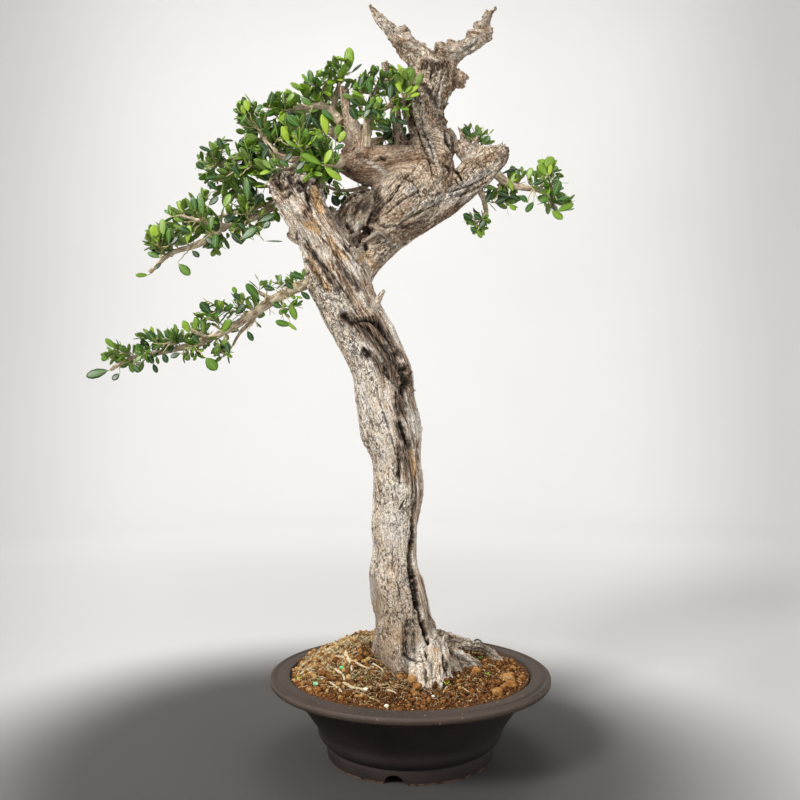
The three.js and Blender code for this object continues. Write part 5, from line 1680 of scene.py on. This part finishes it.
# %% Grow all sprays
#   spray: (leaf length, shoots, distance between pairs, brightest tone)
SPRAYS = {
    "lower_left_base": (15, 22, 5.0, 0.78), "lower_left_inner": (16, 30, 5.0, 0.78),
    "lower_left_middle": (15, 32, 4.8, 0.78), "lower_left_tip": (16, 28, 4.8, 0.78),
    "upper_left_inner": (19, 32, 5.4, 0.95), "upper_left_middle": (20, 36, 5.4, 0.95),
    "upper_left_tip": (19, 24, 5.4, 0.95), "crown_left_front": (22, 28, 5.8, 0.95),
    "crown_far_left": (20, 28, 5.6, 0.95), "crown_left_top": (21, 26, 5.8, 0.95),
    "crown_middle": (23, 42, 5.8, 0.95), "crown_front": (23, 34, 5.8, 0.95),
    "crown_top": (22, 27, 5.8, 0.95), "crown_top_right": (22, 32, 5.8, 0.95),
    "crown_right": (21, 16, 5.8, 0.95), "crown_back": (21, 34, 6.2, 0.95),
    "crown_back_right": (20, 26, 6.0, 0.95), "behind_stub": (19, 20, 6.0, 0.95),
    "right_inner": (18, 18, 5.8, 0.75), "right_tip": (20, 22, 5.8, 0.75),
    "lower_right": (15, 11, 5.2, 0.95), "arm_top": (16, 12, 5.4, 0.95)}
LEAFY_LENGTH, GOAL_GAP, FIRST_SEED = 30, 5.6, 100
leaf_count = 0
for seed, (name, (leaf_length, shoots, spacing, brightest)) in enumerate(SPRAYS.items(), FIRST_SEED):
    spray = Spray("foliage_" + name, leaf_length, brightest, seed)
    goals = spray.space.strew(spray.rng, GOAL_GAP, shoots)
    starts = np.array(growth.places)
    goals.sort(key=lambda goal: np.linalg.norm(starts - goal, axis=1).min())
    for goal in goals:
        line = bend_shoot(spray.rng, *growth.start_for(goal), goal, 0.5)
        length = np.linalg.norm(np.diff(line, axis=0), axis=1).sum()
        spray.twigs.add(*shoot_tube(line, 0.55 + 0.016 * length, 0.42))
        spray.clothe(line, LEAFY_LENGTH, spacing)
        growth.grow(line)
    if name in PICKED_LEAVES:
        pick(spray, *PICKED_LEAVES[name])
    leaf_count += spray.build()
print(leaf_count, "leaves")

# %% [markdown]
# ## The soil
# The tree stands in baked clay granules, not in earth, so that water runs through. They are fine and
# rust brown at the front, and coarser and tan round the edge and on the mound at the left, where an old
# mat of dry roots and a little moss lies bare. The bed below is one closed solid that fits the pot, and
# the granules and roots on top are loose pieces.

# %% The bed
SOIL_EDGE, SOIL_CROWN = 84, 6
MOUND_X, MOUND_Y, MOUND_WIDE, MOUND_DEEP, MOUND_HEIGHT = -50, 45, 62, 50, 28
BED_SIDES, BED_RINGS = 180, 70
BED_DROP = 1.6


def soil_top(x, y):
    dome = np.clip(1 - (x ** 2 + y ** 2) / RIM_INNER_RADIUS ** 2, 0, 1)
    mound = np.exp(-((x - MOUND_X) / MOUND_WIDE) ** 2 - ((y - MOUND_Y) / MOUND_DEEP) ** 2)
    return SOIL_EDGE + SOIL_CROWN * dome + MOUND_HEIGHT * dome ** 0.3 * mound


bed_rings = [(0.6, FLOOR_TOP + 2)] + [(r - 1.2, z) for r, z in reversed(inner_wall[1:7])]
bed_rings[1] = (bed_rings[1][0], FLOOR_TOP + 2)
bed_rings += [(126.5, SOIL_EDGE - 3.5)] + [(r, SOIL_EDGE) for r in np.linspace(127.5, 0.6, BED_RINGS)]
bed = grow_rings("soil_bed", [(r * MM, z * MM) for r, z in bed_rings], BED_SIDES, centre=POT_AXIS[:2])
edit(bed, "DESELECT")
bpy.ops.mesh.select_non_manifold()
bpy.ops.mesh.edge_face_add()
bpy.ops.mesh.select_all(action="SELECT")
bpy.ops.mesh.normals_make_consistent(inside=False)
bpy.ops.object.mode_set(mode="OBJECT")
bed_points = read_points(bed)
on_top = bed_points[:, 2] > SOIL_EDGE - 0.5
x, y = bed_points[on_top, :2].T
bed_points[on_top, 2] = soil_top(x, y) - BED_DROP + 1.5 * rough(np.stack([x, y, 0 * x], axis=1) / 6, 3, 60)
move_points(bed, bed_points)
print("the mound is", round(float(bed_points[:, 2].max()) - SOIL_EDGE, 1), "mm above the soil's edge")

# %% [markdown]
# Baked clay is dusty and open-pored. Each granule takes its own shade from an attribute, from dark brown
# to straw, and the noise only gives it a skin. The same material colours the bed, so gaps look natural.

# %% Baked clay granules
earth = Finish("baked_clay_granules", Specular_IOR_Level=0.15)
shade = earth.attribute("shade")
where = earth.place()
grit = earth.noise(where, 700, detail=4)
clumps = earth.noise(where, 200, detail=3)
earth.prime(earth.ramp(shade + 0.5 * clumps - 0.25, (0.0, 45, 26, 13), (0.28, 80, 47, 23),
                       (0.48, 118, 73, 36), (0.66, 152, 105, 56), (0.86, 194, 160, 106)))
earth.paint(grit.within(0.52, 0.7) * 0.5, chart(182, 140, 82))
earth.paint((1.0 - grit.within(0.3, 0.48)) * 0.6, chart(42, 25, 13))
earth.set("Roughness", 0.88 + 0.1 * grit)
earth.bump(grit + clumps * 0.6, 0.0012, 0.9)


def coarse_share(x, y):
    """1 where the granules are coarse and tan, 0 where they are fine and rust brown."""
    back_left = eased(0.55 * y - 0.75 * x, -10, 75)
    return np.clip(0.9 * back_left + 0.3 * noise(np.stack([x, y, 0 * x], axis=1) / 26, 61) + 0.12, 0, 1)


write_attribute(bed, "shade", 0.14 + 0.16 * coarse_share(*bed_points[:, :2].T))
settle(bed, earth, ["soil"])

# %% [markdown]
# A granule is an icosphere of twenty faces with its corners pushed about. Thousands of them are laid on
# the bed, the fine ones dense and the coarse ones on top, and none inside the trunk or the stones.

# %% Scatter the granules
def ball_shape(subdivisions):
    deselect()
    bpy.ops.mesh.primitive_ico_sphere_add(subdivisions=subdivisions, radius=1.0)
    ball = bpy.context.object
    points = np.array([v.co for v in ball.data.vertices])
    faces = [tuple(face.vertices) for face in ball.data.polygons]
    bpy.data.objects.remove(ball)
    return points, faces


GRANULE, LUMP = ball_shape(1), ball_shape(3)
kept_clear = [solid_of(node)[1] for node in frame["nodes"]
              if node == "trunk" or node.startswith(("surface_stone", "fertiliser"))]


def buried(point):
    for solid in kept_clear:
        place, normal, _, distance = solid.find_nearest(Vector(point), 30)
        if place is not None and (Vector(point) - place).dot(normal) < 0 and distance > 0.6:
            return True
    return False


def on_bed(x, y, lift):
    return np.array([x, y, soil_top(x, y) - BED_DROP + lift])


def scatter(name, count, small, large, wanted, seed):
    """Granules of small to large millimetres across; wanted(x, y) is how likely one stays."""
    rng = np.random.default_rng(seed)
    heap, laid = Heap(name), 0
    while laid < count:
        radius, angle = (RIM_INNER_RADIUS - 3) * math.sqrt(rng.uniform()), rng.uniform(0, 2 * math.pi)
        x, y = radius * math.cos(angle), radius * math.sin(angle)
        spot = np.array([[x], [y]])
        size = (small + (large - small) * rng.uniform() ** 1.7) / 2
        stays = rng.uniform() < wanted(*spot)[0]
        tone = 0.36 + 0.26 * coarse_share(*spot)[0] + rng.normal(0, 0.2)
        jitter, squash = rng.normal(0, 0.2, GRANULE[0].shape), rng.uniform(0.7, 1.2, 3)
        centre = on_bed(x, y, size * (rng.uniform(-0.3, 0.6) + 0.5))
        if stays and not buried(centre):
            heap.add(centre + size * squash * (GRANULE[0] + jitter), GRANULE[1], tone)
            laid += 1
    heap.build("soil", earth)


scatter("fine_granules", 8000, 1.2, 2.9, lambda x, y: 1.05 - 0.7 * coarse_share(x, y), seed=1)
scatter("coarse_granules", 1400, 2.6, 6.6, lambda x, y: 0.06 + 0.9 * coarse_share(x, y), seed=2)

# %% [markdown]
# The largest lumps lie apart and are shaped one by one: a ball of a few hundred faces is dented by noise
# until it looks like a crumb of burnt brick. Six of them stand for the solid stones of the packed model.

# %% Lumps and stones
def lump_points(centre, size, seed):
    """A dented ball of about size millimetres in radius."""
    rng = np.random.default_rng(seed)
    squash = np.array([1.0, rng.uniform(0.75, 0.95), rng.uniform(0.65, 0.85)])
    turn = rng.uniform(0, math.pi)
    dents = 0.34 * rough(LUMP[0] * 1.5 + 10 * seed, 3, 70)
    spin = [[math.cos(turn), math.sin(turn), 0], [-math.sin(turn), math.cos(turn), 0], [0, 0, 1]]
    return np.array(centre) + size * (LUMP[0] * (1 + dents)[:, None] * squash @ np.array(spin))


STONES = [(85, -80, 6), (101, -34, 6), (101, -56, 6.5), (70, -18, 5.5), (1, -52, 5), (6, -72, 5.5)]
for number, (x, y, size) in enumerate(STONES, 1):
    stone = Heap(f"rough_stone_{number}")
    centre = (x, y, soil_top(x, y) + 0.3 * size)
    stone.add(lump_points(centre, size * 0.95, number), LUMP[1], 0.6 + 0.07 * (number % 3))
    stone.build("pebble", earth, [f"surface_stone_{number}"])

#        x, y, radius, shade
LUMPS = [
    (-11, -42, 3.6, 0.66), (0, -40, 3.2, 0.78), (11, -54, 2.8, 0.5), (41, -46, 2.8, 0.74),
    (106, -22, 4.0, 0.6), (84, 30, 3.0, 0.7), (-55, -6, 4.6, 0.42), (-102, -66, 3.8, 0.66),
    (-94, -70, 4.0, 0.6), (-69, -92, 3.0, 0.7), (-92, -27, 5.0, 0.5), (-48, 2, 3.6, 0.5),
    (-62, -14, 4.2, 0.4), (92, -62, 3.2, 0.6), (60, -76, 3.0, 0.55), (-112, -50, 3.4, 0.64),
    (30, -104, 2.6, 0.6), (112, 6, 3.4, 0.66), (96, 52, 4.0, 0.6), (40, 92, 4.2, 0.6), (-30, 108, 4.4, 0.66),
    (-96, 66, 4.0, 0.7), (4, 70, 3.8, 0.6), (70, 76, 3.4, 0.7)]
lumps = Heap("brick_crumbs")
for number, (x, y, size, shade) in enumerate(LUMPS, 20):
    lumps.add(lump_points(on_bed(x, y, 0.6 * size), size, number), LUMP[1], shade)
lumps.build("soil", earth)

# %% [markdown]
# The mat of dead feeding roots lies like straw over the mound at the left and thins out towards the
# front. Every fibre is a short, kinked, four-sided tube that follows the soil.

# %% The mat of dry roots
straw, _ = speckled("dry_roots", 380, (0.0004, 0.7), (0.3, 88, 66, 40), (0.5, 142, 118, 78),
                    (0.7, 200, 185, 153), shade=0.5, Specular_IOR_Level=0.15, Roughness=0.85)


def lay_fibre(rng, start, heading, length, thick, stands_off):
    """A curly fibre that wanders over the soil and ends in it."""
    line, place, curl = [], np.array(start, float), rng.normal(0, 0.25)
    for _ in range(max(4, int(length / FIBRE_STEP))):
        rise = thick * 0.7 + stands_off * abs(rng.normal(0, 1))
        line.append((*place, soil_top(*place) - BED_DROP + 1.0 + rise))
        heading += curl + rng.normal(0, 0.4)
        place += FIBRE_STEP * np.array([math.cos(heading), math.sin(heading)])
        if np.hypot(*place) > RIM_INNER_RADIUS - 4:
            break
    line = np.array(line)
    line[[0, -1], 2] -= 2.0
    return line


FIBRE_STEP = 2.2
mat_rng = np.random.default_rng(7)
mat = Heap("dry_root_mat")
MAT = [
    #  how many, middle, spread, length, radius, how far it stands off the soil
    (330, (-72, 26), (26, 18), 22, 0.5, 1.2), (170, (-96, 2), (16, 22), 18, 0.45, 0.9),
    (170, (-62, -30), (30, 20), 18, 0.42, 0.8), (150, (-30, -62), (30, 20), 15, 0.36, 0.6),
    (90, (30, -92), (45, 16), 12, 0.32, 0.5), (120, (70, -24), (28, 34), 13, 0.32, 0.5),
    (40, (-86, 22), (20, 16), 30, 0.95, 1.0), (130, (-20, 66), (40, 22), 22, 0.5, 1.0),
    (60, (80, 60), (22, 22), 18, 0.42, 0.7)]
for count, middle, spread, length, thick, stands_off in MAT:
    for _ in range(count):
        start = (mat_rng.normal(middle[0], spread[0]), mat_rng.normal(middle[1], spread[1]))
        heading, reach = mat_rng.uniform(0, 2 * math.pi), length * mat_rng.uniform(0.5, 1.4)
        if np.hypot(*start) > RIM_INNER_RADIUS - 8:
            continue
        line = lay_fibre(mat_rng, start, heading, reach, thick, stands_off)
        if len(line) < 3 or buried(line[len(line) // 2] - (0, 0, 2)):
            continue
        width = thick * mat_rng.uniform(0.6, 1.25)
        mat.add(*shoot_tube(line, width, width * 0.5, sides=4), mat_rng.uniform(0.1, 1))
mat.build("soil", straw)

# %% [markdown]
# The thicker roots are laid one by one: a forked one on the mound, a bundle along its ridge, and a few
# that cross the front. Each is a radius at either end, then its first place on the soil, and its steps.

# %% Bare roots
THICK_ROOTS = [
    (2.0, 1.2, -84, 8, 4, -3, 5, -4, 5, -2, 8, -8, 8, -6, 7, -6, 9, 1),
    (2.6, 0.9, -69, 12, -1, -6, 1, -5, 3, -7, 3, -10, 1, -11),
    (1.9, 0.9, -80, -18, 4, -7, 4, -8, 4, -11, 0, -10), (1.8, 1.0, -70, -54, 6, -6, 7, -9, 10, -7),
    (1.1, 0.6, -56, -76, 12, -13, 14, -17), (1.2, 0.7, -31, -27, 5, -13, 6, -17),
    (1.1, 0.7, -34, -63, 6, 0, 6, 5), (1.0, 0.6, -26, -73, 7, -6, 6, -7),
    (1.2, 0.7, -41, -12, 8, -8, 5, -10), (1.6, 0.9, -118, -22, 6, 10, 6, 8, 9, 6),
    (2.2, 1.4, -120, 2, 9, 14, 11, 8, 10, 3, 11, 3, 12, 2, 11, 2),
    (2.0, 1.2, -116, -11, 10, 16, 11, 10, 11, 6, 10, 6, 12, 4, 12, 1),
    (1.7, 1.0, -117, 12, 14, 13, 13, 7, 13, 4, 13, 2), (1.4, 0.8, -112, 22, 14, 12, 14, 6, 14, 4),
    (1.2, 0.6, -82, -48, 10, -22, 12, -21), (0.9, 0.5, 36, -64, -2, -8, -3, -9),
    (0.9, 0.5, 49, -56, 5, -17, 5, -7), (1.3, 0.7, 64, 60, 16, 6, 12, -6, 12, -10)]
roots = Heap("bare_roots")
for number, (thick, thin, *steps) in enumerate(THICK_ROOTS):
    places = np.cumsum(np.reshape(steps, (-1, 2)), axis=0)
    line = Limb([(*on_bed(x, y, 0.7 + 0.8 * thick), 1.0) for x, y in places]).line
    line = line + 0.9 * np.stack([noise(line / 7, 80 + number), noise(line / 7, 90 + number),
                                  0.5 * noise(line / 7, 99)], axis=1)
    line[0, 2] -= thick + 1.5
    line[-1, 2] -= 1.5
    roots.add(*shoot_tube(line, thick, thin, sides=8), 0.75 + 0.25 * math.sin(number))
roots.build("soil", straw)

# %% [markdown]
# A crust of dead moss has grown along the ridge of the mound, pale as lichen. It is a few hundred small
# crumbs, strewn in patches, with a finish that is rough all over.

# %% Moss
lichen, _ = speckled("dead_moss", 650, (0.0015, 1.0), (0.3, 78, 70, 42), (0.5, 130, 120, 80),
                     (0.7, 190, 180, 142), shade=0.4, detail=5.0, grain=0.7,
                     Specular_IOR_Level=0.1, Roughness=0.95)
moss_rng = np.random.default_rng(17)
moss = Heap("moss_crust")
MOSS_PATCHES = [(80, (-60, 34), (9, 7)), (100, (-84, 28), (16, 7)), (60, (-106, 14), (9, 10)),
                (20, (-54, -34), (7, 6)), (20, (-112, -24), (6, 10)), (40, (-44, 52), (18, 10))]
for count, middle, spread in MOSS_PATCHES:
    for _ in range(count):
        x, y = moss_rng.normal(middle[0], spread[0]), moss_rng.normal(middle[1], spread[1])
        size, jitter = moss_rng.uniform(0.9, 2.2), moss_rng.normal(0, 0.3, GRANULE[0].shape)
        shade, centre = moss_rng.uniform(), on_bed(x, y, 0.8 + 0.5 * size)
        if np.hypot(x, y) < RIM_INNER_RADIUS - 5 and not buried(centre):
            moss.add(centre + size * np.array([1.1, 1.1, 0.7]) * (GRANULE[0] + jitter), GRANULE[1], shade)
moss.build("soil", lichen)

# %% [markdown]
# Between the granules lie crumbs of white perlite and pressed balls of fertiliser. The balls start out
# cream, and a green bloom of mould spreads over them with age, so each has its own share of it.

# %% Perlite and fertiliser
white, _ = speckled("perlite", 900, (0.0005, 0.8), (0.35, 196, 190, 176), (0.6, 244, 242, 236),
                    Roughness=0.9)
PERLITE = [(-63, 12), (-60, 13), (-56, 9), (-92, -38), (-81, -72), (-118, -27), (75, 12), (21, -91),
           (-44, -52), (60, -34), (-8, -98), (90, -70)]
perlite = Heap("perlite_crumbs")
for number, (x, y) in enumerate(PERLITE):
    size = 1.1 + 0.5 * math.sin(3 * number)
    perlite.add(lump_points((x, y, soil_top(x, y) - 0.4), size, 50 + number), LUMP[1], 1.0)
perlite.build("soil", white)

bloom = Finish("fertiliser_with_green_bloom", Roughness=0.75)
mould = bloom.noise(bloom.place(), 260, detail=4)
bloom.prime(chart(222, 220, 196))
bloom.paint((mould + bloom.attribute("shade")).within(0.75, 1.0), chart(92, 190, 120))
bloom.bump(mould, 0.0004, 0.6)
PELLETS = [(-73, -19, 3.2, 0.8), (-45, -77, 3.0, 0.1), (-24, -118, 3.0, 0.0), (-97, -54, 3.2, 0.45)]
for number, (x, y, size, green) in enumerate(PELLETS, 1):
    pellet = Heap(f"pressed_pellet_{number}")
    pellet.add(lump_points((x, y, soil_top(x, y) + 0.4 * size), size * 0.85, 80 + number), LUMP[1], green)
    pellet.build("fertiliser", bloom, [f"fertiliser_pellet_{number}"])

# %% [markdown]
# A few weeds have come up from seed. Each is a rosette of two to four small leaves, made from the same
# leaf as the tree's, only shorter and rounder.

# %% Weeds
#    x, y, leaf length, leaves, tone
WEEDS = [
    (79, 37, 6.0, 4, 0.75), (42, -8, 3.4, 3, 0.5), (47, -12, 3.6, 3, 0.5), (49, -34, 3.2, 2, 0.6),
    (58, -33, 3.4, 3, 0.5), (81, -22, 3.8, 3, 0.6), (-28, -17, 2.6, 2, 0.5), (-55, -64, 3.4, 3, 0.7),
    (-117, -30, 5.0, 4, 0.8), (-98, 8, 4.6, 3, 0.9), (36, -58, 5.2, 3, 1.0), (-44, -48, 3.4, 3, 0.4),
    (-93, -42, 3.6, 3, 0.4), (-45, 28, 3.2, 3, 0.3), (-40, 40, 4.0, 3, 0.7), (20, 88, 4.0, 3, 0.6)]
weed_rng = np.random.default_rng(23)
weeds, blades, tones = Heap("weed_seedlings"), [], []
for x, y, length, count, tone in WEEDS:
    base = on_bed(x, y, 0.8)
    for i in range(count):
        turn = 2 * math.pi * i / count + weed_rng.uniform(0, 1)
        heading = unit(np.array([math.cos(turn), math.sin(turn), weed_rng.uniform(0.5, 1.4)]))
        face_up = unit(UP - UP.dot(heading) * heading)
        weeds.add(place_leaf(base, heading, face_up, length, length * 0.62, 0.15), leaf_faces)
        blades.append(leaf_blade)
        tones += [tone] * len(leaf_blade)
weed_piece = weeds.build("leaves", leaf)
write_attribute(weed_piece, "blade", np.vstack(blades), "FLOAT_VECTOR")
write_attribute(weed_piece, "tone", tones)

# %% [markdown]
# Under the soil a plastic mesh covers the drain hole, clipped down by a bent wire, and a longer wire
# comes up through the floor to tie the roots. Its loop shows above the root at the right.

# %% Mesh and wires
metal, tarnish = speckled("annealed_wire", 500, (0.0001, 0.5), (0.35, 48, 42, 38),
                          (0.65, 92, 84, 76), Metallic=0.7)
metal.set("Roughness", 0.4 + 0.35 * tarnish)


def bend_wire(name, route, radius, node):
    wire = Limb([(*place, radius) for place in route])
    settle(mesh_piece(name, *wire.tube(12)), metal, [node])


TIE_ROUTE = [
    (-62, 44, 116), (-60, 37, 104), (-58, 16, 62), (-46, -10, 22), (-45, -12, 13), (-45, -12, 6),
    (-42, -12, 3), (-20, -12, 2.7), (20, -12, 2.7), (42, -12, 3), (45, -12, 6), (45, -12, 13), (52, -6, 26),
    (74, 20, 60), (84, 33, 84), (85, 34, 96), (82, 38, 104.5), (78, 43, 107.5), (74, 48, 105), (71, 52, 97),
    (70, 54, 84)]
TIE_RADIUS, CLIP_RADIUS = 1.0, 0.7
bend_wire("tie_wire_loop", TIE_ROUTE, TIE_RADIUS, "tie_down_wire")
CLIP_TOP, CLIP_LEG, CLIP_SPREAD = 14.6, 9.9, 24
half_clip = [(0, 0, CLIP_TOP), (CLIP_LEG - 2, 0, CLIP_TOP), (CLIP_LEG, 0, CLIP_TOP - 2), (CLIP_LEG, 0, 6.2),
             (CLIP_LEG + 2, 0, 3.6), (CLIP_SPREAD, 0, 3.2)]
other_half = [(-x, y, z) for x, y, z in half_clip[:0:-1]]
bend_wire("screen_clip_wire", other_half + half_clip, CLIP_RADIUS, "screen_wire")

plastic, grain_of_mould = speckled("mesh_plastic", 700, (0.0002, 0.5), (0.3, 24, 26, 24),
                                   (0.7, 40, 42, 38), detail=3, Specular_IOR_Level=0.4)
plastic.set("Roughness", 0.45 + 0.2 * grain_of_mould)
for material_slot in frame["nodes"]["drain_screen"].material_slots:
    material_slot.material = plastic.material

# %% [markdown]
